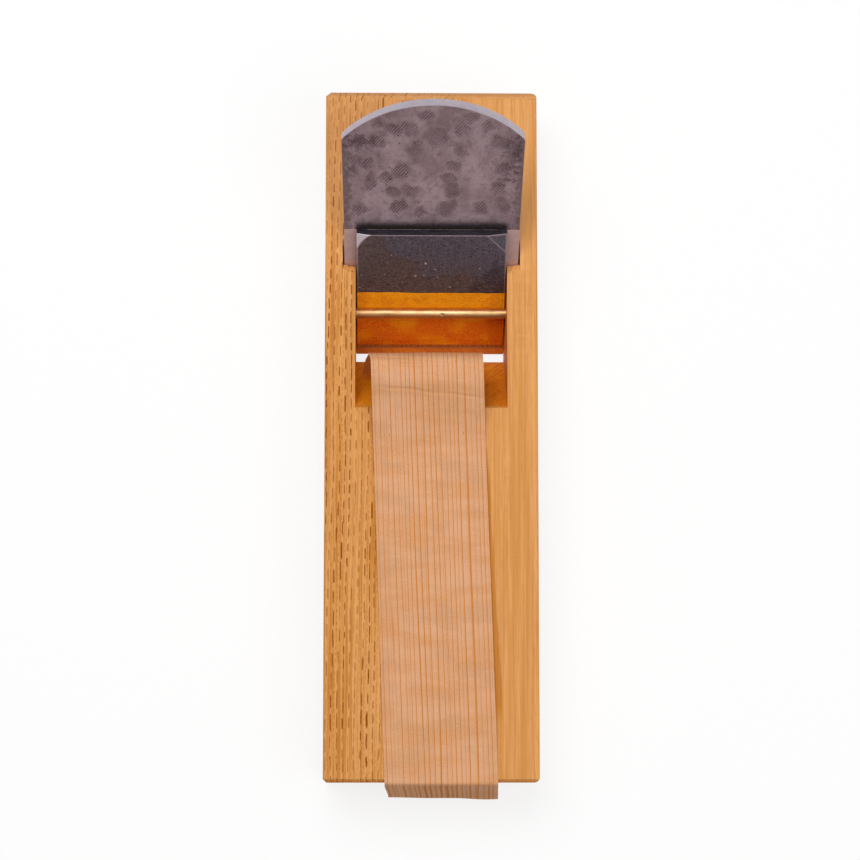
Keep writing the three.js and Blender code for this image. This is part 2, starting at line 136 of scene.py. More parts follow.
class Graph:
    """One material's nodes, added and joined by short calls."""

    def __init__(self, name):
        self.material = bpy.data.materials.new(name)
        self.material.use_nodes = True
        self.tree = self.material.node_tree
        self.tree.nodes.clear()
        self.output = self.tree.nodes.new("ShaderNodeOutputMaterial")

    def feed(self, socket, value):
        if isinstance(value, Value):
            self.tree.links.new(value.socket, socket)
        elif socket.type == "RGBA":
            socket.default_value = (*value, 1)
        else:
            socket.default_value = value

    def node(self, kind, inputs=(), **settings):
        made = self.tree.nodes.new(kind)
        for key, value in settings.items():
            setattr(made, key, value)
        for key, value in dict(inputs).items():
            self.feed(made.inputs[key], value)
        return made

    def out(self, kind, inputs=(), key=0, **settings):
        """The given output of a new node."""
        return Value(self, self.node(kind, inputs, **settings).outputs[key])

    def math(self, operation, *values):
        return self.out("ShaderNodeMath", enumerate(values), operation=operation)

    def most(self, first, *others):
        for other in others:
            first = self.math("MAXIMUM", first, other)
        return first

    def whole(self, value):
        return self.math("FLOOR", value)

    def rest(self, value):
        return self.math("FRACT", value)

    def step(self, value, low, high):
        """0 below low, 1 above high and a smooth rise between them."""
        inputs = {0: value, 1: low, 2: high, 3: 0, 4: 1}
        return self.out("ShaderNodeMapRange", inputs, interpolation_type="SMOOTHSTEP")

    def fall(self, value, low, high):
        """1 below low, 0 above high and a smooth fall between them."""
        return 1 - self.step(value, low, high)

    def hill(self, value, foot, top, edge, end):
        """0 before foot, 1 from top to edge and 0 again after end."""
        return self.step(value, foot, top) * self.fall(value, edge, end)

    def within(self, value, low, high, soft):
        """1 between low and high, with soft edges outside them."""
        return self.hill(value, low - soft, low, high, high + soft)

    def remap(self, value, low, high, to_low, to_high):
        return self.out("ShaderNodeMapRange", enumerate((value, low, high, to_low, to_high)))

    def mix(self, share, a, b):
        return self.out("ShaderNodeMix", {0: share, 6: a, 7: b}, 2, data_type="RGBA")

    def paint(self, base, *layers):
        """Base under layers of colour, each as strong as the product of its shares."""
        for colour, share, *others in layers:
            for other in others:
                share = share * other
            base = self.mix(share, base, colour)
        return base

    def place(self):
        """The piece's own place, in millimetres in the frame."""
        local = self.out("ShaderNodeTexCoord", key="Object")
        return self.stretch(local, (1 / MM, 1 / MM, 1 / MM))

    def face_place(self):
        """The place in the blade group's axes, in millimetres."""
        local = self.out("ShaderNodeTexCoord", key="Object")
        origin = Vector(BLADE_ORIGIN) * MM
        inputs = {0: local, "Location": origin, "Rotation": (FACE_ANGLE, 0, 0), "Scale": (MM, MM, MM)}
        return self.out("ShaderNodeMapping", inputs, vector_type="TEXTURE")

    def attribute(self, name, key="Fac"):
        return self.out("ShaderNodeAttribute", key=key, attribute_name=name)

    def stretch(self, vector, scale):
        return self.out("ShaderNodeVectorMath", {0: vector, 1: scale}, operation="MULTIPLY")

    def split(self, vector):
        made = self.node("ShaderNodeSeparateXYZ", {0: vector})
        return [Value(self, socket) for socket in made.outputs]

    def join(self, x, y, z):
        return self.out("ShaderNodeCombineXYZ", {0: x, 1: y, 2: z})

    def flat(self, u, v, u_scale, v_scale, seed=0):
        """A place on a flat pattern of two measures."""
        return self.join(u * u_scale, v * v_scale, seed)

    def noise(self, vector, scale=1, detail=2, roughness=0.5):
        inputs = {"Vector": vector, "Scale": scale, "Detail": detail, "Roughness": roughness}
        return self.out("ShaderNodeTexNoise", inputs)

    def grain(self, vector, scale, **settings):
        """Noise with its own scale along each axis."""
        return self.noise(self.stretch(vector, scale), **settings)

    def random(self, vector):
        """Three random shares, the same wherever the vector is the same."""
        return self.split(self.out("ShaderNodeTexWhiteNoise", {"Vector": vector}, "Color"))

    def cells(self, vector, scale=1):
        return self.out("ShaderNodeTexVoronoi", {"Vector": vector, "Scale": scale}, "Distance")

    def surface(self, colour, roughness, relief=None, depth=0, **others):
        """The material, with relief of the given depth in millimetres where relief goes from 0 to 1."""
        inputs = {"Base Color": colour, "Roughness": roughness}
        inputs.update({key.replace("_", " "): value for key, value in others.items()})
        if relief is not None:
            heights = {"Height": relief, "Strength": 1, "Distance": depth * MM}
            inputs["Normal"] = self.out("ShaderNodeBump", heights)
        self.feed(self.output.inputs[0], self.out("ShaderNodeBsdfPrincipled", inputs))
        return self.material


# Mesh helpers
WELD = 0.002
FLAT_ANGLE = math.radians(0.3)
ROUND_ANGLE = math.radians(18)
SHARP_ANGLE = math.radians(32)


def link_mesh(name, mesh):
    piece = bpy.data.objects.new(name, mesh)
    bpy.context.scene.collection.objects.link(piece)
    return piece


def face_point(across, along, height):
    """A place in the blade group's axes, in millimetres, as a point of the frame in metres."""
    x = BLADE_ORIGIN[0] + across
    y = BLADE_ORIGIN[1] + along * math.cos(FACE_ANGLE) - height * math.sin(FACE_ANGLE)
    z = BLADE_ORIGIN[2] + along * math.sin(FACE_ANGLE) + height * math.cos(FACE_ANGLE)
    return Vector((x, y, z)) * MM


def smooth_step(value, low, high):
    share = min(max((value - low) / (high - low), 0), 1)
    return share * share * (3 - 2 * share)


def ripple(*place):
    return noise.noise(Vector(place))


def finish_piece(piece, body, node, slot, *materials):
    for material in materials:
        piece.data.materials.append(material)
    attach(piece, body)
    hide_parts(node)


def finish_shape(shape, name, body, node, slot, *materials):
    """Turns a bmesh into a piece that stands for a CAD node."""
    bmesh.ops.recalc_face_normals(shape, faces=shape.faces)
    for face in shape.faces:
        face.smooth = True
    mesh = bpy.data.meshes.new(name)
    shape.to_mesh(mesh)
    shape.free()
    mesh.set_sharp_from_angle(angle=SHARP_ANGLE)
    finish_piece(link_mesh(name, mesh), body, node, slot, *materials)


def add_copy(name, body, node, slot, material, edge):
    """A CAD node's shape with its flat faces joined again and its edges rounded by edge millimetres."""
    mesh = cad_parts[node].data.copy()
    mesh.name = name
    shape = bmesh.new()
    shape.from_mesh(mesh)
    bmesh.ops.remove_doubles(shape, verts=shape.verts, dist=WELD * MM)
    bmesh.ops.dissolve_limit(shape, angle_limit=FLAT_ANGLE, verts=shape.verts, edges=shape.edges)
    for face in shape.faces:
        face.smooth = True
    for line in shape.edges:
        line.smooth = True
    shape.to_mesh(mesh)
    shape.free()
    mesh.materials.clear()
    piece = link_mesh(name, mesh)
    rounding = piece.modifiers.new("edges", "BEVEL")
    rounding.width = edge * MM
    rounding.segments = 2
    rounding.limit_method = "ANGLE"
    rounding.angle_limit = ROUND_ANGLE
    rounding.use_clamp_overlap = True
    flatten = piece.modifiers.new("normals", "WEIGHTED_NORMAL")
    flatten.mode = "FACE_AREA"
    flatten.weight = 100
    finish_piece(piece, body, node, slot, material)


def close_grids(shape, upper, lower):
    """Faces over one grid of verts, under the other, and round the edges between them."""
    end = len(upper[0]) - 1
    for a, b, c, d in zip(upper, upper[1:], lower, lower[1:]):
        for k in range(end):
            shape.faces.new((a[k], b[k], b[k + 1], a[k + 1]))
            shape.faces.new((c[k], c[k + 1], d[k + 1], d[k]))
        shape.faces.new((a[end], b[end], d[end], c[end]))
        shape.faces.new((a[0], c[0], d[0], b[0]))
    for k in range(end):
        shape.faces.new((upper[0][k], upper[0][k + 1], lower[0][k + 1], lower[0][k]))
        shape.faces.new((upper[-1][k + 1], upper[-1][k], lower[-1][k], lower[-1][k + 1]))


# Camera: the photograph's place, found from the outline of the body and the walls of the throat
CAMERA_TARGET = Vector((-0.55, 0.49, BODY_HEIGHT)) * MM
CAMERA_DISTANCE = 1.0
CAMERA_TILT = math.radians(6.81)
CAMERA_SIDE = math.radians(-1.07)
SENSOR = 36
FOCAL_LENGTH = 106.55


def add_camera():
    back = Vector((
        math.sin(CAMERA_SIDE),
        -math.sin(CAMERA_TILT) * math.cos(CAMERA_SIDE),
        math.cos(CAMERA_TILT) * math.cos(CAMERA_SIDE),
    ))
    right = Vector((0, 1, 0)).cross(back).normalized()
    up = back.cross(right)
    data = bpy.data.cameras.new("camera")
    data.sensor_width = SENSOR
    data.lens = FOCAL_LENGTH
    camera = bpy.data.objects.new("camera", data)
    bpy.context.scene.collection.objects.link(camera)
    turn = Matrix((right, up, back)).transposed().to_4x4()
    camera.matrix_world = Matrix.Translation(CAMERA_TARGET + back * CAMERA_DISTANCE) @ turn
    bpy.context.scene.camera = camera


# Floor, lamps and world, in metres and watts
FLOOR_HALF = 40
FLOOR_GREY = 0.93
FLOOR_SEEN_GREY = 0.2
FLOOR_GLOW = 0.8
WORLD_STRENGTH = 0.25
LAMP_AIM = (0, 0, 0.02)
KEY_PLACE = (-0.25, 0.5, 1.3)
KEY_SIZE = 1.0
KEY_POWER = 12.5
FILL_PLACE = (0.6, -0.35, 1.3)
FILL_SIZE = 0.9
FILL_POWER = 5.5


def add_floor():
    """A pale floor. Where it is seen, part of its white is its own glow, so that the shadow stays light."""
    half = FLOOR_HALF
    mesh = bpy.data.meshes.new("floor")
    corners = [(-half, -half, 0), (half, -half, 0), (half, half, 0), (-half, half, 0)]
    mesh.from_pydata(corners, [], [(0, 1, 2, 3)])
    floor = link_mesh("floor", mesh)
    g = Graph("floor_white")
    kinds = ("Camera", "Glossy", "Transmission")
    seen = g.most(*[g.out("ShaderNodeLightPath", key=f"Is {kind} Ray") for kind in kinds])
    grey = FLOOR_GREY + seen * (FLOOR_SEEN_GREY - FLOOR_GREY)
    mesh.materials.append(g.surface(
        g.join(grey, grey, grey), 0.9, Specular_IOR_Level=0.0, Emission_Color=(1, 1, 1),
        Emission_Strength=seen * FLOOR_GLOW))


def add_lamp(name, place, size, power):
    data = bpy.data.lights.new(name, "AREA")
    data.shape = "DISK"
    data.size = size
    data.energy = power
    lamp = bpy.data.objects.new(name, data)
    lamp.location = place
    lamp.rotation_euler = (Vector(LAMP_AIM) - Vector(place)).to_track_quat("-Z", "Y").to_euler()
    bpy.context.scene.collection.objects.link(lamp)


def add_world():
    world = bpy.data.worlds.new("studio")
    world.use_nodes = True
    background = world.node_tree.nodes["Background"]
    background.inputs["Color"].default_value = (1, 1, 1, 1)
    background.inputs["Strength"].default_value = WORLD_STRENGTH
    bpy.context.scene.world = world


# Oak: growth rings about a pith that lies over the body's right side
PITH_X = 34
PITH_Z = 52
GRAIN_SLOPE = 0.024
RING_SPACING = 2.25
PORE_PITCH = 0.6
LONG_PORES = {"cell_length": 6.4, "ring_place": 0.14, "half_width": 0.3, "seed": 3}
SHORT_PORES = {"cell_length": 2.6, "ring_place": 0.6, "half_width": 0.2, "seed": 8}
OAK_LIGHT = srgb(231, 166, 96)
OAK_HONEY = srgb(210, 140, 62)
OAK_PINK = srgb(224, 160, 98)
OAK_STREAK = srgb(192, 122, 46)
OAK_PORE = srgb(146, 70, 2)
OAK_PAINTED_SHADOW = srgb(192, 116, 24)
OAK_RIGHT = srgb(242, 178, 118)
OAK_PAINTED_LIGHT_LEFT_REAR = srgb(242, 176, 116)
OAK_PAINTED_LIGHT_BY_BLADE = srgb(250, 188, 122)
OAK_REAR_EDGE = srgb(180, 130, 92)
OAK_FRONT_EDGE = srgb(196, 108, 20)
OAK_CHEEK = srgb(226, 134, 14)
WALL_HIGH = srgb(226, 132, 6)
WALL_DEEP = srgb(244, 154, 20)
WALL_HATCH = srgb(190, 92, 0)
WALL_SCRATCH = srgb(240, 176, 84)
WALL_RIGHT = srgb(196, 100, 0)
WALL_LEFT_PAINTED_LIGHT = srgb(255, 160, 10)
WALL_RIM = srgb(204, 132, 56)

# Where those tones begin and end, in millimetres
LEFT_FADE_X = (-4, 22)
SIDE_FACE_OUT = (41.4, 41.9)
THROAT_EDGE_Z = (34.6, 34.9)
WALL_DEPTH_Z = (8, 30)
WALL_RIM_Z = (33.5, 33.9)
WALL_RIGHT_X = (-6, 6)
PAINTED_SHADOW_Y = (-106, -14)
FEW_PORES_Y = (40, 115)
PAINTED_LIGHT_LEFT_REAR_Y = (40, 110)
PAINTED_LIGHT_OUT = (34.6, 36.4)
PAINTED_LIGHT_Y = (70, 104)
REAR_EDGE_Y = (134.6, 135.6)
FRONT_EDGE_Y = (-136.4, -135.4)


def pith_offset(g, place):
    """Distances across and up from the pith line, which runs slightly askew to the body."""
    x, y, z = g.split(place)
    return x - y * GRAIN_SLOPE - PITH_X, z - PITH_Z


def distance_of(g, side, rise):
    return g.math("SQRT", side * side + rise * rise)


def ring_turns(g, place):
    """How many growth rings lie between the pith and a place."""
    slow = (g.grain(place, (0.03, 0.01, 0.03), detail=1) - 0.5) * 5
    quick = (g.grain(place, (0.16, 0.022, 0.16), detail=1) - 0.5) * 2.2
    radius = distance_of(g, *pith_offset(g, place))
    return (radius + (slow + quick)) / RING_SPACING


def pore_rows(g, place, steep, cell_length, ring_place, half_width, seed):
    """Slender vessels along the grain, one row to each ring: dashes on long faces and dots on the ends."""
    x, y, z = g.split(place)
    side, rise = pith_offset(g, place)
    plain = distance_of(g, side, rise)
    band = g.random(g.join(g.whole(plain / RING_SPACING), seed, 0))
    shift = band[0] * 13
    length = (0.8 + band[1] * 0.6) * cell_length
    row = y / length + shift
    cell = g.whole(row)
    held_y = (cell + 0.5 - shift) * length
    turns = ring_turns(g, g.join(x, held_y, z))
    ring = g.whole(turns)
    first = g.random(g.join(ring, cell, seed))
    arc = g.math("ARCTAN2", side, rise) * (plain / PORE_PITCH)
    arc = arc + first[0] * 7
    second = g.random(g.join(ring + cell * 0.37, g.whole(arc), seed))
    half_length = 0.24 + first[1] * 0.25
    centre = 0.5 + (first[2] - 0.5) * 0.1
    along = abs((g.rest(row) - centre) / half_length)
    course = (g.grain(place, (0.9, 0.7, 0.9), detail=1) - 0.5) * 0.16
    offset = g.rest(turns) - ring_place + (second[0] - 0.5) * -0.12 + course
    across = offset * (0.75 + second[2] * 0.7) * (RING_SPACING / half_width)
    deep = (g.rest(arc) - 0.5) * (1.35 + steep * 3.2)
    reach = g.math("POWER", along, 5) + across * across + deep * deep
    kept = g.random(g.join(ring, seed, 2))[1]
    strength = g.step(second[1], -0.5, 0.6) * (0.42 + kept * 0.68)
    return g.fall(reach, 0.5, 1.3) * strength


def throat_shares(g, x, y, z):
    """Two shares: 1 on the sloping front wall of the throat, and 1 on its two cheeks."""
    below_top = g.fall(z, *THROAT_EDGE_Z)
    from_wall = abs(y - MOUTH_FRONT_Y + z * WALL_RUN)
    inside = g.fall(abs(x), THROAT_HALF, THROAT_HALF + 0.1)
    wall = g.fall(from_wall, 0.4, 1.2) * inside * below_top
    from_cheek = abs(abs(x) - THROAT_HALF)
    return wall, g.fall(from_cheek, 0.05, 0.25) * below_top


def wall_looks(g, x, z):
    """The pared front wall of the throat: its colour, and its slanting cuts, which are also its relief."""
    over_cuts = x * 0.8 + z * 0.6
    with_cuts = x * 0.6 - z * 0.8
    over_scratches = z * 0.7 - x * 0.7
    with_scratches = x * 0.7 + z * 0.7
    cuts = g.noise(g.flat(over_cuts, with_cuts, 1.5, 0.12), roughness=0.65)
    scratch = g.noise(g.flat(over_scratches, with_scratches, 2.2, 0.1), roughness=0.7)
    right = g.step(x, *WALL_RIGHT_X)
    colour = g.paint(
        WALL_DEEP,
        (WALL_HIGH, g.step(z, *WALL_DEPTH_Z)),
        (WALL_HATCH, g.step(cuts, 0.4, 0.64), 0.9),
        (WALL_SCRATCH, 0.35 + right * 0.65, g.step(scratch, 0.54, 0.66), 0.6),
        # painted light: the wall's left side lighter, against the shade of the shaving's tail; its right
        # side darker
        (WALL_RIGHT, right, 0.35),
        (WALL_LEFT_PAINTED_LIGHT, 1 - right, 0.35),
        (WALL_RIM, g.step(z, *WALL_RIM_Z), 0.8))
    return colour, cuts


def painted_shadow_share(g, x, y, streak):
    """1 in the painted shadow beside the shaving's right edge: a brown line, wider towards the front."""
    beside = x - (SHAVING_SHIFT + SHAVING_WIDTH / 2) + y * SHAVING_SKEW
    past = beside - (g.remap(y, -105, -14, 2.7, 0.8) + (streak - 0.5) * 2)
    return g.step(beside, -0.5, 0) * g.fall(past, -0.4, 0.5) * g.within(y, *PAINTED_SHADOW_Y, 10)


def oak_material():
    """White oak: figured and full of pores on the left, plainer and paler on the right."""
    g = Graph("oak")
    place = g.place()
    x, y, z = g.split(place)
    out = abs(x)
    left = g.fall(x, *LEFT_FADE_X)
    wall, cheek = throat_shares(g, x, y, z)
    wall_colour, cuts = wall_looks(g, x, z)

    steep = g.most(cheek, g.step(out, *SIDE_FACE_OUT))
    rows = g.most(pore_rows(g, place, steep, **LONG_PORES), pore_rows(g, place, steep, **SHORT_PORES) * 0.36)
    faded = 1 - g.step(y, *FEW_PORES_Y) * 0.2
    pores = rows * (0.06 + left * 0.94) * faded * (1 - wall * 0.75)

    phase = g.rest(ring_turns(g, place))
    streak = g.grain(place, (1.05, 0.014, 1.05), roughness=0.6)
    broad = g.grain(place, (0.16, 0.007, 0.16))
    blush = g.grain(place, (0.45, 0.012, 0.45), detail=1)
    fibre = g.grain(place, (4.5, 0.11, 4.5), roughness=0.6)
    mottle = g.grain(place, (0.5, 0.16, 0.5))
    base = g.paint(
        OAK_LIGHT,
        (OAK_HONEY, g.step(broad, 0.36, 0.64)),
        (OAK_PINK, g.step(blush, 0.46, 0.6), 0.45 + left * 0.25),
        (OAK_PINK, g.hill(phase, -0.05, 0.05, 0.22, 0.42), 0.05 + left * 0.5),
        (OAK_STREAK, g.hill(phase, 0.55, 0.85, 0.9, 1.0), 0.1 + left * 0.35),
        (OAK_STREAK, g.step(streak, 0.5, 0.66), 0.7 + left * 0.1),
        (OAK_LIGHT, g.step(streak, 0.48, 0.34), 0.75),
        (OAK_STREAK, g.step(fibre, 0.46, 0.7), 0.75 + left * -0.25),
        (OAK_HONEY, g.step(mottle, 0.5, 0.8), 0.2),
        (wall_colour, wall, 0.9),
        (OAK_CHEEK, cheek, 0.7),
        (OAK_RIGHT, 1 - left, 1 - wall, 0.25),
        # painted light: paler oak on the left rear and close beside both sides of the blade, against the
        # blade's shadow
        (OAK_PAINTED_LIGHT_LEFT_REAR, g.step(y, *PAINTED_LIGHT_LEFT_REAR_Y), left, 0.4),
        (OAK_PAINTED_LIGHT_BY_BLADE, g.within(out, *PAINTED_LIGHT_OUT, 1.4), g.within(y, *PAINTED_LIGHT_Y, 12), 0.4),
        (OAK_REAR_EDGE, g.step(y, *REAR_EDGE_Y), 0.5),
        (OAK_FRONT_EDGE, g.fall(y, *FRONT_EDGE_Y), 0.5),
        # painted shadow of the shaving's right edge on the oak
        (OAK_PAINTED_SHADOW, painted_shadow_share(g, x, y, streak), 0.7),
        (OAK_PORE, pores, 1.05))
    relief = fibre * 0.25 + pores * -0.75 + cuts * wall * 0.8
    roughness = 0.5 + pores * 0.2 + fibre * 0.1
    return g.surface(base, roughness, relief, 0.06, Specular_IOR_Level=0.08)


# Forged iron
IRON_RIDGE = srgb(191, 164, 172)
IRON_DULL = srgb(154, 128, 134)
IRON_RIM = srgb(203, 188, 191)
IRON_HOLLOW = srgb(142, 115, 122)
IRON_SHADE = srgb(107, 83, 89)
IRON_STROKE = srgb(62, 42, 46)
IRON_GLINT = srgb(201, 186, 191)
IRON_GRIME = srgb(103, 81, 79)
IRON_SCORCH = srgb(66, 48, 54)
IRON_PIT_AND_PAINTED_SHADOW = srgb(26, 18, 18)
PIT_SCALE = 0.42
HATCH_ANGLE = math.radians(50)
HATCH_PITCH = 0.98

# Dark patches: middle across, middle along, half width and half length
SCORCHES = [(30.5, 96, 3.6, 9), (-28, 102.5, 6, 3.6), (28, 86, 3, 2.4), (-31, 90, 2, 2)]


def hatching(g, place, across, along, frayed):
    """Slanting strokes inside the hammer marks, clear in some and faint in others."""
    lines = across * -math.sin(HATCH_ANGLE) + along * math.cos(HATCH_ANGLE)
    warp = g.noise(place, 0.3, detail=1)
    stroke = g.math("SINE", (lines + warp * 0.8) * (math.tau / HATCH_PITCH))
    clear = g.noise(place, 0.11, detail=1)
    inked = g.step(frayed, 0.1, 1.1) * (0.5 + g.step(clear, 0.36, 0.6) * 0.5)
    return g.step(stroke, -0.35, 0.45) * inked


def hammered_material():
    """Forged iron: light between the hammer marks, darker and hatched inside them, dirty at its edges, with
    a painted shadow just above the chipbreaker.
    """
    g = Graph("hammered_iron")
    place = g.face_place()
    across, along = g.split(place)[:2]
    mark = g.attribute("hammer_mark")
    cloud = g.grain(place, (0.09, 0.07, 0.09), detail=3, roughness=0.55)
    grime = g.noise(place, 0.5, detail=4, roughness=0.65)
    fine = g.noise(place, 3, detail=3, roughness=0.7)
    uneven = g.noise(place, 0.9)
    brushed = g.grain(place, (2.4, 0.5, 2.4), roughness=0.6)
    patchy = g.grain(place, (0.32, 0.26, 0.32), detail=3, roughness=0.6)
    frayed = mark + (uneven - 0.45) * 1.1
    hatch = hatching(g, place, across, along, frayed)
    pits = g.fall(g.cells(place, PIT_SCALE), 0.1, 0.16) * g.step(grime, 0.5, 0.6)
    from_side = BLADE_HEAD_HALF - abs(across) + ((grime - 0.5) * 16 + (cloud - 0.5) * 10)
    over_chip = along - CHIP_TOP + (grime - 0.5) * 2.5
    beside = g.fall(abs(across) + (grime - 0.5) * 4, CHIP_HALF - 1, CHIP_HALF + 2)
    scorches = []
    for middle, row, wide, tall in SCORCHES:
        reach = distance_of(g, (across - middle) / wide, (along - row) / tall) + (grime - 0.5) * 5
        scorches.append((IRON_SCORCH, g.fall(reach, 0.3, 1.2), 0.5))

    base = g.paint(
        IRON_RIDGE,
        (IRON_DULL, g.step(cloud, 0.34, 0.66)),
        (IRON_GRIME, g.step(along, 84, 116), 0.22),
        (IRON_RIM, g.hill(mark, 0.0, 0.05, 0.1, 0.4), g.step(uneven, 0.42, 0.62), 0.26),
        (IRON_HOLLOW, g.step(frayed, 0.0, 0.9), 0.55),
        (IRON_HOLLOW, g.step(grime, 0.48, 0.7), 0.4),
        (IRON_SHADE, g.step(patchy, 0.5, 0.68), 0.36),
        (IRON_SHADE, g.step(brushed, 0.5, 0.7), 0.22),
        (IRON_STROKE, hatch, 0.66),
        (IRON_GRIME, g.fall(from_side, 0.5, 5.5), 0.7),
        *scorches,
        # painted shadow and reflection of the chipbreaker, darkest just above its top end
        (IRON_PIT_AND_PAINTED_SHADOW, g.fall(over_chip, 0.9, 4.6), beside, 0.95),
        (IRON_STROKE, g.step(fine, 0.48, 0.68), 0.3),
        (IRON_GLINT, g.step(fine, 0.46, 0.3), 0.3),
        (IRON_PIT_AND_PAINTED_SHADOW, pits, 0.8))
    relief = fine * 0.4 + hatch * -0.6 + pits * -0.5 + grime * 0.3
    roughness = 0.4 + grime * 0.18 + mark * 0.06
    return g.surface(base, roughness, relief, 0.035, Metallic=0.45)


# Ground steel
RIM_LIGHT = srgb(197, 186, 196)
RIM_DULL = srgb(189, 178, 188)
STEEL_LIGHT = srgb(213, 180, 176)
STEEL_DULL = srgb(203, 170, 166)
STEEL_PAINTED_REFLECTION = srgb(150, 92, 62)
EDGE_PAINTED_REFLECTION = srgb(240, 186, 74)
CHIP_BEVEL_REFLECTION = srgb(198, 144, 76)
CHIP_BEVEL_REFLECTION_DARK = srgb(162, 104, 42)


def ground_material(name, light, dull, roughness, depth):
    """Ground metal: fine lines across it, a polished cutting edge with a painted reflection of the orange
    wood, painted brown reflections on the steel's sides, and a brown front on the chipbreaker that is a
    painted reflection of the wood.
    """
    g = Graph(name)
    place = g.face_place()
    across, along, height = g.split(place)
    lines = g.grain(place, (0.25, 7, 7), roughness=0.6)
    grit = g.noise(place, 5, roughness=0.7)
    cloud = g.noise(place, 0.3, detail=3)
    away = g.step(along, 6, 16)
    bevel_reflection = g.step(height, 0.08, 0.2) * g.fall(along, 5.5, 7)
    reflected = g.fall(along, 3, 5)
    side_reflection = g.within(along, 37, 43, 4) * g.step(abs(across), 29, 30)
    base = g.paint(
        light,
        (dull, g.step(cloud, 0.35, 0.7)),
        (dull, g.step(grit, 0.5, 0.8), 0.35),
        # painted reflection of the orange wood in the polished cutting edge
        (EDGE_PAINTED_REFLECTION, reflected, 0.7),
        # painted reflection: brown on the steel's sides beside the chipbreaker
        (STEEL_PAINTED_REFLECTION, side_reflection, 0.6),
        # painted reflection: the chipbreaker's bevelled front brown with the wood it faces
        (CHIP_BEVEL_REFLECTION, bevel_reflection))
    rough = 0.05 + away * (roughness + cloud * 0.12) + bevel_reflection * 0.75
    relief = (lines * 0.5 + grit * 0.5) * (0.1 + away * 0.9)
    dull_share = away * 0.45 + bevel_reflection * 0.5 + reflected * 0.25
    return g.surface(base, rough, relief, depth, Metallic=1 - dull_share)


# Dark iron of the chipbreaker, whose two bent ears differ: (width, length) on the left and on the right
EARS = {-1: (5.9, 7.4), 1: (7.8, 8.6)}
EAR_CURVE = {-1: 1.4, 1: 1.0}
EAR_DROP = 1.4
CHIP_BLUE = srgb(99, 92, 105)
CHIP_BROWN = srgb(102, 85, 82)
CHIP_DARK = srgb(62, 50, 52)
CHIP_RUBBED = srgb(116, 106, 116)
CHIP_GRIT_LIGHT = srgb(142, 124, 130)
CHIP_GRIT_DARK = srgb(48, 34, 36)
CHIP_SPECK = srgb(214, 186, 188)
CHIP_END = srgb(40, 38, 44)
CHIP_END_RUBBED = srgb(66, 62, 72)
CHIP_WEAR_AND_HIGHLIGHT = srgb(190, 166, 168)
CHIP_BRIGHT = srgb(212, 200, 208)


def rust_specks(g, place, across, along, grime):
    """Pale specks, most of them near the middle and on the lower part."""
    zone = g.noise(place, 0.2, detail=1)
    middle = g.fall(abs(across + 7), 4, 15)
    lower = g.fall(along, 46, 58)
    spread = -0.03 + (zone - 0.5) * 0.6 + middle * lower * 0.13 + (grime - 0.5) * 0.4
    return g.fall(g.cells(place, PIT_SCALE) - spread, 0.0, 0.06)


def chipbreaker_material():
    """Dark scaled iron with worn edges that also carry a painted highlight, a bright left ear, a bevel
    painted brown as the wood's reflection, and a few pale specks of rust.
    """
    g = Graph("dark_iron")
    place = g.face_place()
    across, along = g.split(place)[:2]
    cloud = g.grain(place, (0.09, 0.11, 0.1), detail=3, roughness=0.6)
    grime = g.noise(place, 0.6, detail=4, roughness=0.7)
    fine = g.grain(place, (1.5, 2.1, 1.8), detail=3, roughness=0.7)
    rubbed = g.grain(place, (0.12, 1.6, 1.6), roughness=0.6)
    ticks = g.noise(g.flat(across, along, 1.1, 0, 2))
    specks = rust_specks(g, place, across, along, grime)
    blot = (cloud - 0.5) * 40
    far_left = g.math("MINIMUM", across + 9, 0)
    blue = g.step(along + across * 0.22 + far_left * 1.2 + blot, 43, 50)
    corner = g.step(across * 0.8 + along * -0.9 + blot, -24, -15)
    top_end = g.step(along, CHIP_TOP - 0.06, CHIP_TOP - 0.02)
    bevel = g.fall(along, CHIP_ARRIS - 0.2, CHIP_ARRIS)
    bright = g.attribute("bright")
    wear_and_highlight = g.attribute("wear_and_highlight") * (1 - bevel) * (1 - top_end) * g.step(grime, 0.1, 0.5)

    base = g.paint(
        CHIP_BROWN,
        (CHIP_BLUE, blue),
        (CHIP_DARK, corner, 0.7),
        (CHIP_DARK, g.step(grime, 0.48, 0.66), 0.6),
        (CHIP_RUBBED, g.step(rubbed, 0.52, 0.7), 0.25),
        (CHIP_GRIT_LIGHT, g.step(fine, 0.5, 0.66), 0.6),
        (CHIP_GRIT_DARK, g.step(fine, 0.48, 0.34), 0.7),
        (CHIP_SPECK, specks, 0.75),
        (g.mix(g.step(rubbed, 0.4, 0.7), CHIP_END, CHIP_END_RUBBED), top_end),
        # painted reflection of the wood on the plate's bevel, with dark ticks
        (g.mix(g.step(ticks, 0.4, 0.65), CHIP_BEVEL_REFLECTION, CHIP_BEVEL_REFLECTION_DARK), bevel),
        # worn edges, painted light as their highlight too
        (CHIP_WEAR_AND_HIGHLIGHT, wear_and_highlight, 0.6),
        (CHIP_BRIGHT, bright, 1 - top_end))
    relief = fine * 0.3 + grime * 0.4 + specks * 0.5
    roughness = 0.34 + grime * 0.2 + bright * 0.1 + bevel * 0.45
    return g.surface(base, roughness, relief, 0.03, Metallic=0.5 - bevel * 0.4, Specular_IOR_Level=0.3)


# Brass pin
BRASS_LIGHT = srgb(214, 172, 126)
BRASS_DULL = srgb(190, 146, 98)
BRASS_LINE = srgb(150, 104, 54)


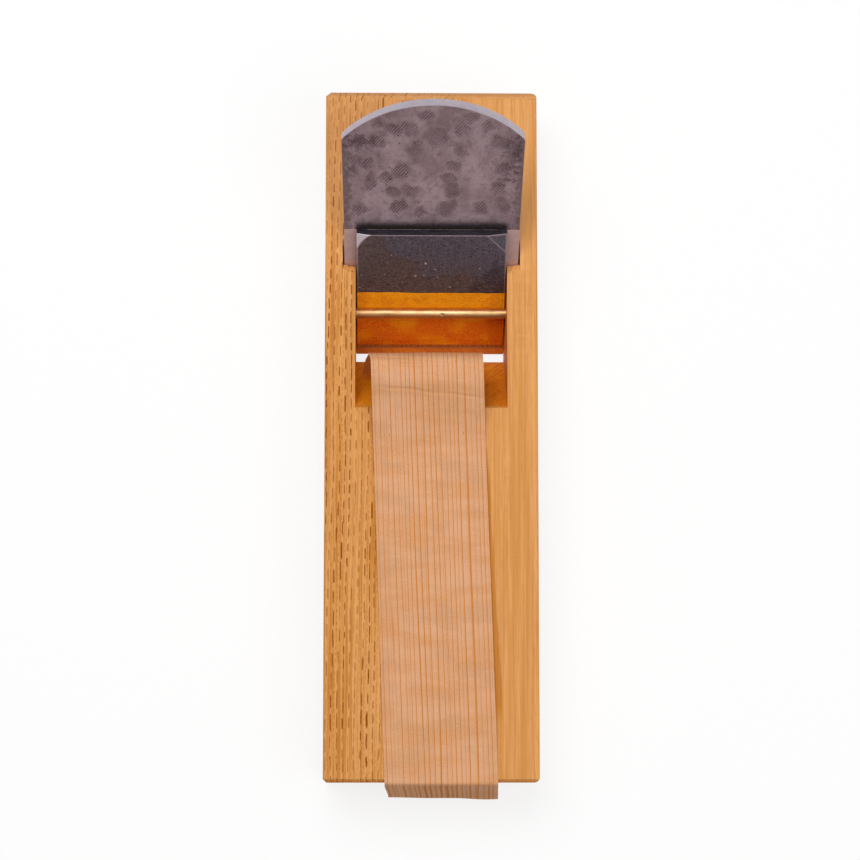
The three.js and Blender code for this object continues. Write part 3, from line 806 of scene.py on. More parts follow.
def brass_material():
    """Drawn brass with fine lines along it."""
    g = Graph("pin_brass")
    place = g.place()
    lines = g.grain(place, (0.12, 5, 5), roughness=0.6)
    cloud = g.grain(place, (0.15, 0.4, 0.4), detail=3)
    base = g.paint(
        BRASS_LIGHT,
        (BRASS_DULL, g.step(cloud, 0.4, 0.7)),
        (BRASS_LINE, g.step(lines, 0.5, 0.75), 0.3))
    return g.surface(base, 0.36 + cloud * 0.12, lines, 0.006, Metallic=1.0)


# Oiled paper
PAPER_BRIGHT = srgb(255, 160, 0)
PAPER_PAINTED_SHADE = srgb(224, 98, 0)
PAPER_BLOTCH = srgb(244, 148, 0)
PAPER_CLOUD = srgb(204, 80, 0)
PAPER_FIBRE_DARK = srgb(186, 84, 0)
PAPER_FIBRE_LIGHT = srgb(255, 196, 70)


def paper_material():
    """Oiled rust-preventive paper: bright orange above the pin, with painted shade making it deeper below
    it, and soft blotches.
    """
    g = Graph("orange_paper")
    place = g.face_place()
    along = g.split(place)[1]
    blotch = g.grain(place, (0.1, 0.13, 0.1), detail=0)
    cloud = g.noise(place, 0.35, detail=3)
    fibre = g.noise(place, 2.4, detail=4, roughness=0.75)
    base = g.paint(
        PAPER_BRIGHT,
        # painted shade: deeper orange below the pin, where the paper lies down in the throat
        (PAPER_PAINTED_SHADE, g.fall(along + cloud * 3, 22, 30)),
        (PAPER_BLOTCH, g.step(blotch, 0.42, 0.78), 0.9),
        (PAPER_CLOUD, g.step(cloud, 0.4, 0.8), 0.45),
        (PAPER_FIBRE_DARK, g.step(fibre, 0.5, 0.62), 0.65),
        (PAPER_FIBRE_LIGHT, g.step(fibre, 0.48, 0.36), 0.6))
    return g.surface(base, 0.5 + fibre * 0.25, fibre, 0.03, Specular_IOR_Level=0.2)


# Softwood shaving
SHAVING_BASE = srgb(224, 171, 133)
SHAVING_WARM = srgb(217, 157, 110)
SHAVING_GREY = srgb(204, 156, 118)
SHAVING_FIBRE = srgb(208, 148, 102)
SHAVING_FLECK_LIGHT = srgb(240, 190, 150)
SHAVING_FLECK_DARK = srgb(204, 142, 98)
SHAVING_LINE = srgb(204, 120, 24)
SHAVING_TAIL_PAINTED_LIGHT = srgb(255, 216, 128)
SHAVING_DOT = srgb(150, 90, 30)
DROOP_SHADE = srgb(200, 150, 110)
DROOP_SHADED_LINE = srgb(188, 106, 8)
LINE_SPACING = 2.05
FAINT_LINES = 3
TAIL_FROM = 195
DROOP_ENDS = (15, 19)


def shaving_material():
    """Planed softwood: fine summer-wood lines along it, soft shimmer and greyer patches between them;
    painted light on the tail and painted shade on the droop.
    """
    g = Graph("shaving_wood")
    across, along = g.split(g.attribute("strip_place", "Vector"))[:2]

    def field(across_scale, along_scale, seed=0, **settings):
        return g.noise(g.flat(across, along, across_scale, along_scale, seed), **settings)

    drift = (field(0, 0.008, detail=1) - 0.5) * 1.2
    uneven = (field(0.14, 0.002, detail=1) - 0.5) * 4.5
    jitter = (field(0.5, 0.002, 8, detail=1) - 0.5) * 1.6
    turns = (across + drift + uneven + jitter) / LINE_SPACING
    phase = g.rest(turns)
    strength = 0.4 + g.random(g.join(g.whole(turns), 5, 0))[0] * 0.75
    line = g.math("POWER", g.step(phase, 0.7, 0.92), 1.5) * g.fall(phase, 0.94, 1.0)
    faint_turns = turns * FAINT_LINES
    faint = g.hill(g.rest(faint_turns), 0.66, 0.85, 0.87, 1.0)
    faint_chance = g.random(g.join(g.whole(faint_turns), 9, 0))[1]
    breakup = field(2.5, 0.05)
    fibre = field(6, 0.25, roughness=0.6)
    shimmer = field(0.035, 0.12, 3, detail=3)
    patches = field(0.07, 0.09, 11, detail=3, roughness=0.55)
    flecks = field(2.6, 1.8, 6, detail=3, roughness=0.7)
    dots = g.fall(g.cells(g.flat(across, along, 0.1, 0.06)), 0.016, 0.03)
    droop = g.fall(along, *DROOP_ENDS)
    broad_line = g.hill(phase, 0.5, 0.68, 0.93, 1.0) * strength

    base = g.paint(
        SHAVING_BASE,
        (SHAVING_WARM, g.step(shimmer, 0.35, 0.68)),
        (SHAVING_GREY, g.step(patches, 0.48, 0.64), 0.55),
        (SHAVING_FIBRE, g.step(fibre, 0.45, 0.8), 0.3),
        (SHAVING_FLECK_LIGHT, g.step(flecks, 0.5, 0.66), 0.5),
        (SHAVING_FLECK_DARK, g.step(flecks, 0.48, 0.34), 0.4),
        (SHAVING_LINE, g.hill(phase, 0.3, 0.9, 0.93, 1.0), strength, 0.1),
        (SHAVING_LINE, line, strength, 0.85 + breakup * 0.5),
        (SHAVING_LINE, faint, g.step(faint_chance, 0.1, 1.0), 0.6),
        # painted light: the tail under the arch lighter and more yellow, against the arch's shade
        (SHAVING_TAIL_PAINTED_LIGHT, g.step(along, TAIL_FROM, TAIL_FROM + 3), 0.8),
        (SHAVING_DOT, dots, 0.6),
        # painted shade: the drooping front end and its lines darker and greyer, as it turns away from the
        # light
        (DROOP_SHADE, droop, 0.42),
        (DROOP_SHADED_LINE, droop, g.most(broad_line, faint * 0.5), 0.8))
    relief = fibre * 0.5 + flecks * 0.4 + line * -0.4
    return g.surface(base, 0.7, relief, 0.03, Specular_IOR_Level=0.12)


# Blade iron: hammered face, ground rim, forged back
FACE_ROUND = 0.15
BACK_CHAMFER_LEFT = 2.2
BACK_CHAMFER_RIGHT = 1.3
BLADE_COLUMNS = 124
BLADE_ROWS = 108
FINE_SIDE = 1.2
SIDE_INSETS = (0.8, 0.55, 0.3, 0.16, 0.05, 0)
HEAD_INSETS = (0.16, 0.05, 0)
DIMPLE_DEPTH = 0.26
MARK_CORE = 0.35
MARK_REACH = 1.3
SWIRL = 2.2
SWIRL_SPACING = 3.6

# Hammer marks: middle across, middle along, half width and half length
DIMPLES = [
    (-3.1, 114.7, 4.1, 3.2), (14.6, 114.8, 3.8, 3.2), (10.6, 109.9, 3.8, 3.9), (20.4, 109.3, 2.7, 2.9),
    (1.2, 104.7, 4.7, 4.9), (-7.4, 99.5, 3.6, 4.2), (-9.4, 108.5, 4.1, 3.9), (-15.4, 108.5, 3.5, 3.9),
    (10.5, 99.2, 3.8, 3.6), (25.3, 102.5, 3.6, 3.9), (-25.2, 93.1, 2.8, 3.3), (-11.7, 89.5, 4.7, 4.6),
    (-24.4, 84.8, 2.8, 4.3), (7.9, 92.3, 3.6, 3.3), (5.8, 85.6, 3.3, 3.3), (26.5, 91.0, 3.6, 4.3),
    (25.9, 82.0, 3.3, 4.0), (7.9, 80.3, 3.6, 4.3), (-8.0, 79.9, 4.2, 4.4), (-15.8, 80.2, 3.3, 3.0),
    (-13.0, 72.8, 3.1, 4.0), (18.9, 71.9, 3.9, 4.1), (27.3, 73.6, 3.4, 4.1), (5.8, 71.2, 4.5, 4.4),
    (-28.1, 70.7, 3.1, 3.7), (-5.1, 70.4, 2.8, 2.7), (-28.2, 102.6, 4.4, 3.6), (-21.4, 103.6, 3.8, 3.6),
    (-21.4, 111.1, 3.8, 2.9), (32.2, 100.3, 2.5, 5.2), (-30.2, 94.1, 2.8, 3.3), (-18.6, 86.8, 3.3, 3.0),
]


def edge_drop(distance, radius):
    """How far a rounded edge has fallen, at a distance inwards from it."""
    if distance >= radius:
        return 0
    return radius - math.sqrt(radius ** 2 - (radius - distance) ** 2)


def back_chamfer(share):
    """The chamfer of the back edge, which is a little narrower towards the right shoulder."""
    return BACK_CHAMFER_LEFT + (BACK_CHAMFER_RIGHT - BACK_CHAMFER_LEFT) * smooth_step(share, 0, 1)


def blade_back(along):
    return BLADE_ROOT + along * BLADE_TAPER


ARC_HALF = BLADE_HEAD_HALF - SHOULDER_ROUND / 2
ARC_CENTRE = BLADE_LENGTH - BLADE_HEAD_RADIUS
SHOULDER = ARC_CENTRE + math.sqrt(BLADE_HEAD_RADIUS ** 2 - ARC_HALF ** 2)


def head_along(across, inset=0):
    """Where the arched head ends at a distance from the middle, on an arc that is inset from its edge."""
    out = abs(across)
    if out <= ARC_HALF:
        return ARC_CENTRE + math.sqrt((BLADE_HEAD_RADIUS - inset) ** 2 - out ** 2)
    turn = math.sqrt(max(BLADE_HEAD_HALF - out, 0) / (BLADE_HEAD_HALF - ARC_HALF))
    return head_along(ARC_HALF, inset) - SHOULDER_ROUND * (1 - turn)


def blade_half(along):
    """Half the blade's width at a distance from the cutting edge."""
    if along < BLADE_CORNER:
        return BLADE_EDGE_HALF + (BLADE_HALF - BLADE_EDGE_HALF) * along / BLADE_CORNER
    widening = (along - STEEL_LENGTH) / (SHOULDER - SHOULDER_ROUND - STEEL_LENGTH)
    return BLADE_HALF + (BLADE_HEAD_HALF - BLADE_HALF) * min(max(widening, 0), 1)


def hammer_mark(across, along):
    """Depth share and tone share of the hammer marks at a place of the face."""
    deepest = 0
    tone = 0
    bent_across = across + SWIRL * noise.noise(Vector((across, along, 1.5)) / SWIRL_SPACING)
    bent_along = along + SWIRL * noise.noise(Vector((across, along, 41.5)) / SWIRL_SPACING)
    for centre, row, wide, tall in DIMPLES:
        distance = math.hypot((bent_across - centre) / wide, (bent_along - row) / tall)
        if distance < MARK_REACH:
            deepest = max(deepest, max(1 - distance * distance, 0) ** 1.2)
            tone = max(tone, 1 - smooth_step(distance, MARK_CORE, MARK_REACH))
    return deepest, tone


def blade_columns():
    """Places across the blade as shares of its half width, close together at its rounded sides."""
    inner = 1 - FINE_SIDE / BLADE_HEAD_HALF
    middle = [inner * (2 * i / BLADE_COLUMNS - 1) for i in range(BLADE_COLUMNS + 1)]
    edges = [1 - inset / BLADE_HEAD_HALF for inset in SIDE_INSETS]
    return [-share for share in reversed(edges)] + middle + edges


def blade_rows(head):
    """Distances from the cutting edge, from the pocket under the steel to the head's rounded edge."""
    low = [STEEL_POCKET / BEVEL_SLOPE, BEVEL_HEEL, BLADE_CORNER, 30, 46,
           STEEL_LENGTH - STEEL_POCKET / STEEL_FEATHER, STEEL_LENGTH]
    top = head - FACE_ROUND
    high = [STEEL_LENGTH + (top - STEEL_LENGTH) * k / BLADE_ROWS for k in range(1, BLADE_ROWS + 1)]
    return low + high + [head - inset for inset in HEAD_INSETS]


def blade_face_height(share, across, along, head):
    if along <= STEEL_LENGTH:
        return -min(STEEL_POCKET, (STEEL_LENGTH - along) * STEEL_FEATHER)
    inwards = min((1 - abs(share)) * BLADE_HEAD_HALF, head - along)
    deep = hammer_mark(across, along)[0] * DIMPLE_DEPTH * smooth_step(along, STEEL_LENGTH, STEEL_LENGTH + 2)
    return -max(edge_drop(inwards, FACE_ROUND), deep * smooth_step(inwards, 0.2, 1.2))


def add_blade_iron(*materials):
    """The iron body of the blade: its face and its back as two grids, and the ground rim between them."""
    shape = bmesh.new()
    marks = shape.verts.layers.float.new("hammer_mark")
    top = []
    back = []
    rims = []
    for share in blade_columns():
        head = head_along(share * BLADE_HEAD_HALF)
        chamfer = back_chamfer(share)
        back_head = head_along(share * BLADE_HEAD_HALF, chamfer)
        top_line = []
        back_line = []
        for along, back_along in zip(blade_rows(head), blade_rows(back_head)):
            across = share * blade_half(along)
            height = blade_face_height(share, across, along, head)
            vert = shape.verts.new(face_point(across, along, height))
            vert[marks] = hammer_mark(across, along)[1] if along > STEEL_LENGTH else 0
            top_line.append(vert)
            depth = min(blade_back(back_along), back_along * BEVEL_SLOPE)
            back_line.append(shape.verts.new(face_point(share * blade_half(back_along), back_along, -depth)))
        across = share * blade_half(head)
        rims.append(shape.verts.new(face_point(across, head, chamfer - blade_back(head))))
        top.append(top_line)
        back.append(back_line)
    end = len(top[0]) - 1
    ground = []
    for a, b, under_a, under_b, rim_a, rim_b in zip(top, top[1:], back, back[1:], rims, rims[1:]):
        for k in range(end):
            shape.faces.new((a[k], b[k], b[k + 1], a[k + 1]))
            shape.faces.new((under_a[k], under_a[k + 1], under_b[k + 1], under_b[k]))
        ground.append(shape.faces.new((a[end], b[end], rim_b, rim_a)))
        ground.append(shape.faces.new((rim_a, rim_b, under_b[end], under_a[end])))
    for line, under, rim in ((top[0], back[0], rims[0]), (top[-1], back[-1], rims[-1])):
        for k in range(end - 1):
            ground.append(shape.faces.new((line[k], line[k + 1], under[k + 1], under[k])))
        ground.append(shape.faces.new((line[end - 1], line[end], rim, under[end], under[end - 1])))
    for face in ground:
        face.material_index = 1
    bmesh.ops.remove_doubles(shape, verts=shape.verts, dist=WELD * MM)
    finish_shape(shape, "hammered_blade", "blade", "blade_iron", "hammered_iron", *materials)


# Chipbreaker
CHIP_SIDE_ROUND = 0.45
CHIP_TOP_ROUND = 0.25
CHIP_STEEL_DEPTH = 1.02
CHIP_STEEL_END = 23.32
CHIP_FOOT = 4
CHIP_BEVEL_RISE = (CHIP_LOW_HEIGHT - CHIP_UNDER_LOW) / (CHIP_ARRIS - CHIP_EDGE)
CHIP_FACE_RISE = (CHIP_TOP_HEIGHT - CHIP_LOW_HEIGHT) / (CHIP_TOP - CHIP_ARRIS)
CHIP_UNDER_RISE = (CHIP_UNDER_TOP - CHIP_UNDER_LOW) / (CHIP_TOP - CHIP_EDGE)
CHIP_FIRST = CHIP_EDGE + CHIP_STEEL_DEPTH / (CHIP_BEVEL_RISE - CHIP_UNDER_RISE)
CHIP_MIDDLE_COLUMNS = 24
CHIP_MIDDLE_ROWS = 20
EAR_STEP = 0.3


def chip_face(along):
    if along < CHIP_ARRIS:
        return CHIP_UNDER_LOW + (along - CHIP_EDGE) * CHIP_BEVEL_RISE
    return CHIP_LOW_HEIGHT + (along - CHIP_ARRIS) * CHIP_FACE_RISE


def chip_under(across, along):
    """The underside, which rests on two feet at the top corners and has a pocket for the steel."""
    if (CHIP_HALF - abs(across)) + (CHIP_TOP - along) < CHIP_FOOT:
        return CHIP_UNDER_LOW
    pocket = min(CHIP_STEEL_DEPTH, max(CHIP_STEEL_END - along, 0))
    return CHIP_UNDER_LOW + (along - CHIP_EDGE) * CHIP_UNDER_RISE + pocket


def ear_reach(across, along):
    """Over 0 inside an ear, 1 at its corner, and the side of the plate that it is on."""
    side = -1 if across < 0 else 1
    width, length = EARS[side]
    curve = EAR_CURVE[side]
    out = max(1 - (CHIP_HALF - abs(across)) / width, 0)
    up = max(1 - (CHIP_TOP - along) / length, 0)
    if out == 0 or up == 0:
        return -1, side
    return out ** curve + up ** curve - 1, side


def stepped(start, end):
    """Places in steps of EAR_STEP from start, up to end."""
    return [start + EAR_STEP * i for i in range(int((end - start) / EAR_STEP) + 1)]


def chip_columns():
    """Places across the plate, close together over the ears and at its rounded sides."""
    inner = CHIP_HALF - max(EARS[-1][0], EARS[1][0]) - 1
    middle = [inner * (2 * i / CHIP_MIDDLE_COLUMNS - 1) for i in range(1, CHIP_MIDDLE_COLUMNS)]
    outer = stepped(inner, CHIP_HALF - CHIP_SIDE_ROUND)
    outer += [CHIP_HALF - inset for inset in (CHIP_SIDE_ROUND, 0.3, 0.12, 0.03, 0)]
    return [-place for place in reversed(outer)] + middle + outer


def chip_rows():
    """Distances from the cutting edge, from where the plate begins over its steel to its top end."""
    arris = [CHIP_ARRIS + shift for shift in (-0.3, -0.1, 0.1, 0.3)]
    low = [CHIP_FIRST, *arris, 12, 17, CHIP_STEEL_END - CHIP_STEEL_DEPTH, CHIP_STEEL_END]
    ears_from = CHIP_TOP - EARS[1][1] - 1
    run = ears_from - CHIP_STEEL_END
    middle = [CHIP_STEEL_END + run * i / CHIP_MIDDLE_ROWS for i in range(1, CHIP_MIDDLE_ROWS)]
    high = stepped(ears_from, CHIP_TOP - CHIP_TOP_ROUND)
    return low + middle + high + [CHIP_TOP - inset for inset in (CHIP_TOP_ROUND, 0.14, 0.05, 0)]


def chip_vert(across, along):
    """Height of the plate's face, with its ears bent down, and the shares of its worn edges with their
    painted highlight and of its bright tone.
    """
    reach, side = ear_reach(across, along)
    to_side = CHIP_HALF - abs(across)
    to_top = CHIP_TOP - along
    drop = max(reach, 0) * EAR_DROP
    drop += max(edge_drop(to_side, CHIP_SIDE_ROUND), edge_drop(to_top, CHIP_TOP_ROUND))
    crease = 1 - smooth_step(abs(reach), 0.01, 0.07) if reach > -0.5 else 0
    side_wear = 1 - smooth_step(to_side, CHIP_SIDE_ROUND, CHIP_SIDE_ROUND + 0.2)
    top_wear = smooth_step(to_top, 0, 0.06) - smooth_step(to_top, 0.16, 0.4)
    wear_and_highlight = max(crease, side_wear * 0.8 if to_side > 0 else 0, top_wear)
    bright = smooth_step(reach, 0.0, 0.08) if side < 0 else 0
    return chip_face(along) - drop, wear_and_highlight, bright


def add_chipbreaker(material):
    """The plate as two grids, with its two ears bent down towards the blade."""
    shape = bmesh.new()
    wear_and_highlight_layer = shape.verts.layers.float.new("wear_and_highlight")
    bright_layer = shape.verts.layers.float.new("bright")
    top = []
    under = []
    for across in chip_columns():
        top_line = []
        under_line = []
        for along in chip_rows():
            bottom = chip_under(across, along)
            height, wear_and_highlight, bright = chip_vert(across, along)
            height = max(height, bottom) if along > CHIP_FIRST else bottom
            vert = shape.verts.new(face_point(across, along, height))
            vert[wear_and_highlight_layer] = wear_and_highlight
            vert[bright_layer] = bright
            top_line.append(vert)
            under_line.append(shape.verts.new(face_point(across, along, bottom)))
        top.append(top_line)
        under.append(under_line)
    close_grids(shape, top, under)
    bmesh.ops.remove_doubles(shape, verts=shape.verts, dist=WELD / 2 * MM)
    bmesh.ops.dissolve_degenerate(shape, dist=WELD / 4 * MM, edges=shape.edges)
    finish_shape(shape, "chipbreaker_plate", "chipbreaker", "chipbreaker_iron", "dark_iron", material)


# Pin
PIN_HEIGHT = chip_face(PIN_ALONG) + PAPER_GAP + PAPER_THICKNESS + PIN_GAP + PIN_RADIUS
PIN_CHAMFER = 0.3
PIN_SEGMENTS = 72
PIN_STEP = 2.4
NICK_X = 4.6
NICK_HALF = 1.1
NICK_TURN = math.radians(118)
NICK_TURN_HALF = 0.4
NICK_DEPTH = 0.2


def add_pin(material):
    """A drawn rod with eased ends and one small nick on its upper side."""
    centre = face_point(0, PIN_ALONG, PIN_HEIGHT)
    shape = bmesh.new()
    stations = [(PIN_LEFT, PIN_RADIUS - PIN_CHAMFER), (PIN_LEFT + PIN_CHAMFER, PIN_RADIUS)]
    stations += [(PIN_LEFT + 2 + i * PIN_STEP, PIN_RADIUS) for i in range(15)]
    stations += [(NICK_X - NICK_HALF + i * NICK_HALF / 6, PIN_RADIUS) for i in range(13)]
    stations += [(NICK_X + 3 + i * PIN_STEP, PIN_RADIUS) for i in range(14)]
    stations += [(PIN_RIGHT - PIN_CHAMFER, PIN_RADIUS), (PIN_RIGHT, PIN_RADIUS - PIN_CHAMFER)]
    rings = []
    for x, radius in sorted(stations):
        ring = []
        for k in range(PIN_SEGMENTS):
            turn = math.tau * k / PIN_SEGMENTS
            away = math.hypot((x - NICK_X) / NICK_HALF, (turn - NICK_TURN) / NICK_TURN_HALF)
            depth = NICK_DEPTH * max(1 - away * away, 0)
            y = (radius - depth) * math.cos(turn) * MM
            z = (radius - depth) * math.sin(turn) * MM
            ring.append(shape.verts.new((x * MM, centre.y + y, centre.z + z)))
        rings.append(ring)
    for a, b in zip(rings, rings[1:]):
        for k in range(PIN_SEGMENTS):
            after = (k + 1) % PIN_SEGMENTS
            shape.faces.new((a[k], a[after], b[after], b[k]))
    shape.faces.new(rings[0])
    shape.faces.new(rings[-1])
    finish_shape(shape, "brass_pin", "body", "press_pin", "pin_brass", material)


# Thin sheets
def add_sheet(name, grid, normals, thickness, body, node, slot, material, places=None):
    """A closed sheet: middle points in metres, a normal for each row, and places for its material."""
    shape = bmesh.new()
    layer = shape.verts.layers.float_vector.new("strip_place")
    sides = []
    for sign in (1, -1):
        rows = []
        for i, (line, normal) in enumerate(zip(grid, normals)):
            row = [shape.verts.new(middle + normal * (sign * thickness / 2 * MM)) for middle in line]
            if places is not None:
                for vert, place in zip(row, places[i]):
                    vert[layer] = place
            rows.append(row)
        sides.append(rows)
    close_grids(shape, *sides)
    finish_shape(shape, name, body, node, slot, material)


PAPER_LOW = 7.9
PAPER_HALF = 29.4
PAPER_VISUAL = 0.14
PAPER_COLUMNS = 90
PAPER_ROWS = 54


def add_paper(material):
    """The oiled paper: flat under the pin, slightly raised elsewhere, with an uneven torn upper edge."""
    up = (face_point(0, 0, 1) - face_point(0, 0, 0)).normalized()
    grid = []
    for k in range(PAPER_ROWS + 1):
        line = []
        for i in range(PAPER_COLUMNS + 1):
            across = PAPER_HALF * (2 * i / PAPER_COLUMNS - 1)
            uneven = 0.5 * ripple(across * 0.11, 4.7, 0) + 0.12 * ripple(across * 0.5, 1.7, 0)
            reach = PAPER_TOP - 0.35 + uneven * 0.6
            along = PAPER_LOW + (reach - PAPER_LOW) * k / PAPER_ROWS
            clear = smooth_step(abs(along - PIN_ALONG), 2.5, 7) * smooth_step(along - PAPER_LOW, 0, 3)
            lift = clear * (0.22 + 0.3 * ripple(across * 0.08, along * 0.12, 9))
            height = chip_face(along) + PAPER_GAP + PAPER_VISUAL / 2 + max(lift, 0)
            line.append(face_point(across, along, height))
        grid.append(line)
    normals = [up] * len(grid)
    add_sheet(
        "orange_wrapper", grid, normals, PAPER_VISUAL, "chipbreaker", "rust_paper", "orange_paper",
        material)


SHAVING_CAD_THICKNESS = 0.4
SHAVING_THICKNESS = 0.12
SHAVING_GAP = 0.3
SHAVING_OVERHANG = 6.4
SHAVING_DROOP = 17
SHAVING_FRONT_RUN = 9
SHAVING_LANDING = 13
SHAVING_ARCH = 9.5
SHAVING_FOLD = 21.9
ARCH_SHARES = ((0, 0.5), (0.5, 0.93), (0.82, 0.86), (1, 0.1))
SHAVING_TAIL_DRIFT = 3.7
SHAVING_COLUMNS = 66
SHAVING_STEP = 0.45
CURVE_POINTS = 60
TAIL_FOOT_SHARE = 0.3
FLARE_Y = (FRONT_RIM_Y + SHAVING_FOLD - 4, FRONT_RIM_Y + SHAVING_FOLD)
DROOP_SHEAR_LEFT = 1.3
DROOP_SHEAR_RIGHT = 0.4
EDGE_LIFT = 1.0

# Creases over the arch: place along the body, slope, width, depth, and where each begins and ends as a share
CREASES = [
    (14.8, -0.09, 0.6, 0.3, -0.9, 1.0), (16.6, -0.1, 0.9, 0.12, -0.2, 0.9),
    (25.9, -0.09, 0.7, 0.4, -0.7, 0.5), (23.9, -0.03, 0.6, 0.24, -0.9, 0.1),
    (27.6, -0.07, 0.5, 0.3, -0.95, 0.6), (21.2, -0.12, 0.6, 0.12, -0.3, 0.8),
]


def shaving_route():
    """The shaving's side view as the CAD part has it: (y, z, sideways drift) at its control points."""
    lie = BODY_HEIGHT + SHAVING_GAP + SHAVING_CAD_THICKNESS / 2
    front = -HALF_LENGTH - SHAVING_OVERHANG
    landing = FRONT_RIM_Y - SHAVING_LANDING
    fold = FRONT_RIM_Y + SHAVING_FOLD
    tail_z = BODY_HEIGHT * TAIL_FOOT_SHARE
    tail_y = MOUTH_FRONT_Y - tail_z * WALL_RUN + SHAVING_GAP + SHAVING_CAD_THICKNESS
    return [
        (front, BODY_HEIGHT - SHAVING_DROOP, 0),
        (-HALF_LENGTH - SHAVING_OVERHANG * 0.55, BODY_HEIGHT - SHAVING_DROOP * 0.5, 0),
        (-HALF_LENGTH - 1.4, BODY_HEIGHT - 1.6, 0),
        (-HALF_LENGTH - 0.5, lie - 0.12, 0),
        (-HALF_LENGTH + 1.5, lie, 0),
        (-HALF_LENGTH + SHAVING_FRONT_RUN, lie, 0),
        ((landing - HALF_LENGTH) / 2, lie, 0),
        (landing - SHAVING_LANDING, lie, 0),
        (landing, lie + SHAVING_ARCH * 0.08, 0),
        *[(FRONT_RIM_Y + SHAVING_FOLD * run, lie + SHAVING_ARCH * rise, 0) for run, rise in ARCH_SHARES],
        (fold - SHAVING_FOLD * 0.03, BODY_HEIGHT * 0.7, SHAVING_TAIL_DRIFT / 2),
        (tail_y, tail_z, SHAVING_TAIL_DRIFT),
    ]


def curve_through(points, step):
    """Points at even steps along a centripetal Catmull-Rom curve, and their distances from its start."""
    places = [np.array(p, float) for p in points]
    places = [2 * places[0] - places[1]] + places + [2 * places[-1] - places[-2]]
    dense = []
    for p0, p1, p2, p3 in zip(places, places[1:], places[2:], places[3:]):
        t1 = np.linalg.norm(p1 - p0) ** 0.5
        t2 = t1 + np.linalg.norm(p2 - p1) ** 0.5
        t3 = t2 + np.linalg.norm(p3 - p2) ** 0.5
        for t in np.linspace(t1, t2, CURVE_POINTS, endpoint=False):
            a1 = (t1 - t) / t1 * p0 + t / t1 * p1
            a2 = (t2 - t) / (t2 - t1) * p1 + (t - t1) / (t2 - t1) * p2
            a3 = (t3 - t) / (t3 - t2) * p2 + (t - t2) / (t3 - t2) * p3
            b1 = (t2 - t) / t2 * a1 + t / t2 * a2
            b2 = (t3 - t) / (t3 - t1) * a2 + (t - t1) / (t3 - t1) * a3
            dense.append((t2 - t) / (t2 - t1) * b1 + (t - t1) / (t2 - t1) * b2)
    dense.append(places[-2])
    dense = np.array(dense)
    lengths = np.concatenate([[0], np.cumsum(np.linalg.norm(np.diff(dense, axis=0), axis=1))])
    wanted = np.linspace(0, lengths[-1], int(lengths[-1] / step) + 1)
    return np.stack([np.interp(wanted, lengths, dense[:, i]) for i in range(dense.shape[1])], axis=1), wanted


def strip_shift(y, z, share):
    """How far the shaving is drawn to the right and to the rear, where it flares and where it droops."""
    flare = smooth_step(y, *FLARE_Y) * smooth_step(-share, 0.4, 1) * smooth_step(z, 30, 40)
    fallen = smooth_step(BODY_HEIGHT - z, 0, SHAVING_DROOP) if y < 0 else 0
    shear = DROOP_SHEAR_LEFT + (DROOP_SHEAR_RIGHT - DROOP_SHEAR_LEFT) * (share + 1) / 2
    lobe = math.exp(-((share - 0.75) / 0.35) ** 2)
    return fallen * shear - flare, fallen * (0.15 + 0.3 * smooth_step(-share, 0, 1) - 0.5 * lobe)


def strip_wave(y, z, share, across, length):
    """How far the shaving lies off its route: soft waves, a lifted right edge and the creases."""
    wave = 0.16 * ripple(across * 0.035, length * 0.03, 1.3) + 0.1 * ripple(across * 0.05, length * 0.2, 7.7)
    wave += EDGE_LIFT * smooth_step(share, 0.55, 1) * smooth_step(-y, -5, 20) * smooth_step(y, -132, -105)
    wave += 0.5 * smooth_step(y, -8, 8) * ripple(across * 0.03, length * 0.06, 4.1)
    for place, slope, width, depth, left, right in CREASES:
        bent = 0.7 * ripple(across * 0.09, place, 2.2)
        away = (y - place - slope * (across - SHAVING_SHIFT) - bent) / width
        fade = smooth_step(share, left - 0.1, left + 0.3) * smooth_step(-share, -right - 0.1, 0.3 - right)
        wave -= depth * math.exp(-away * away) * fade * smooth_step(z, 38, 42)
    return wave


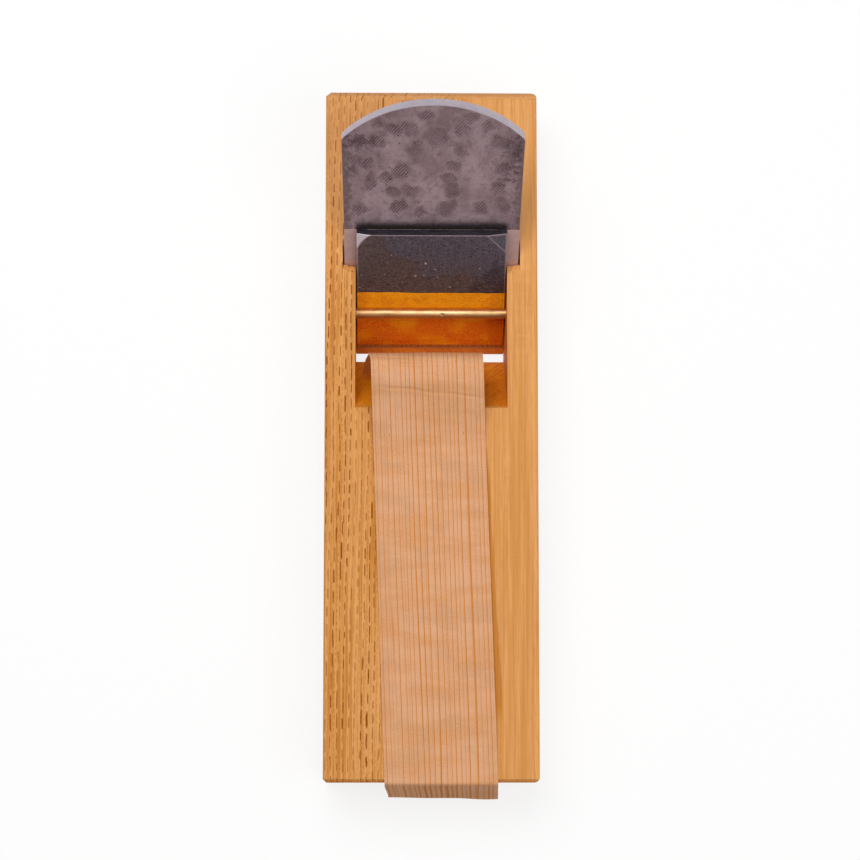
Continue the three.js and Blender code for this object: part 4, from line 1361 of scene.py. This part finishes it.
def add_shaving(material):
    """The shaving: a thin sheet along the CAD route, gently waved, creased across its arch."""
    route, lengths = curve_through(shaving_route(), SHAVING_STEP)
    ahead = np.gradient(route[:, :2], axis=0)
    ahead /= np.linalg.norm(ahead, axis=1)[:, None]
    grid = []
    normals = []
    places = []
    for (y, z, drift), (ahead_y, ahead_z), length in zip(route, ahead, lengths):
        normal = Vector((0, -ahead_z, ahead_y))
        line = []
        strip = []
        for i in range(SHAVING_COLUMNS + 1):
            share = 2 * i / SHAVING_COLUMNS - 1
            across = share * SHAVING_WIDTH / 2
            sideways, backwards = strip_shift(y, z, share)
            x = SHAVING_SHIFT - y * SHAVING_SKEW - drift + across + sideways
            wave = strip_wave(y, z, share, across, length)
            line.append(Vector((x, y + backwards, z)) * MM + normal * (wave * MM))
            strip.append(Vector((across, length, 0)))
        grid.append(line)
        places.append(strip)
        normals.append(normal)
    add_sheet(
        "planed_shaving", grid, normals, SHAVING_THICKNESS, "body", "wood_shaving", "shaving_wood",
        material, places)


# Rounding of the edges that are copied from the CAD part
BODY_EASE = 0.25
BLADE_STEEL_EASE = 0.12
CHIP_STEEL_EASE = 0.08

add_camera()
add_floor()
add_lamp("key", KEY_PLACE, KEY_SIZE, KEY_POWER)
add_lamp("fill", FILL_PLACE, FILL_SIZE, FILL_POWER)
add_world()

hammered = hammered_material()
rim_steel = ground_material("ground_rim", RIM_LIGHT, RIM_DULL, 0.4, 0.01)
edge_steel = ground_material("hard_steel", STEEL_LIGHT, STEEL_DULL, 0.42, 0.012)
add_copy("oak_body", "body", "dai_body", "oak", oak_material(), BODY_EASE)
add_pin(brass_material())
add_shaving(shaving_material())
add_blade_iron(hammered, rim_steel)
add_copy("blade_edge_steel", "blade", "blade_steel", "hard_steel", edge_steel, BLADE_STEEL_EASE)
add_chipbreaker(chipbreaker_material())
add_copy(
    "chipbreaker_edge_steel", "chipbreaker", "chipbreaker_steel", "hard_steel", edge_steel, CHIP_STEEL_EASE)
add_paper(paper_material())

bpy.context.scene.view_settings.view_transform = "Standard"
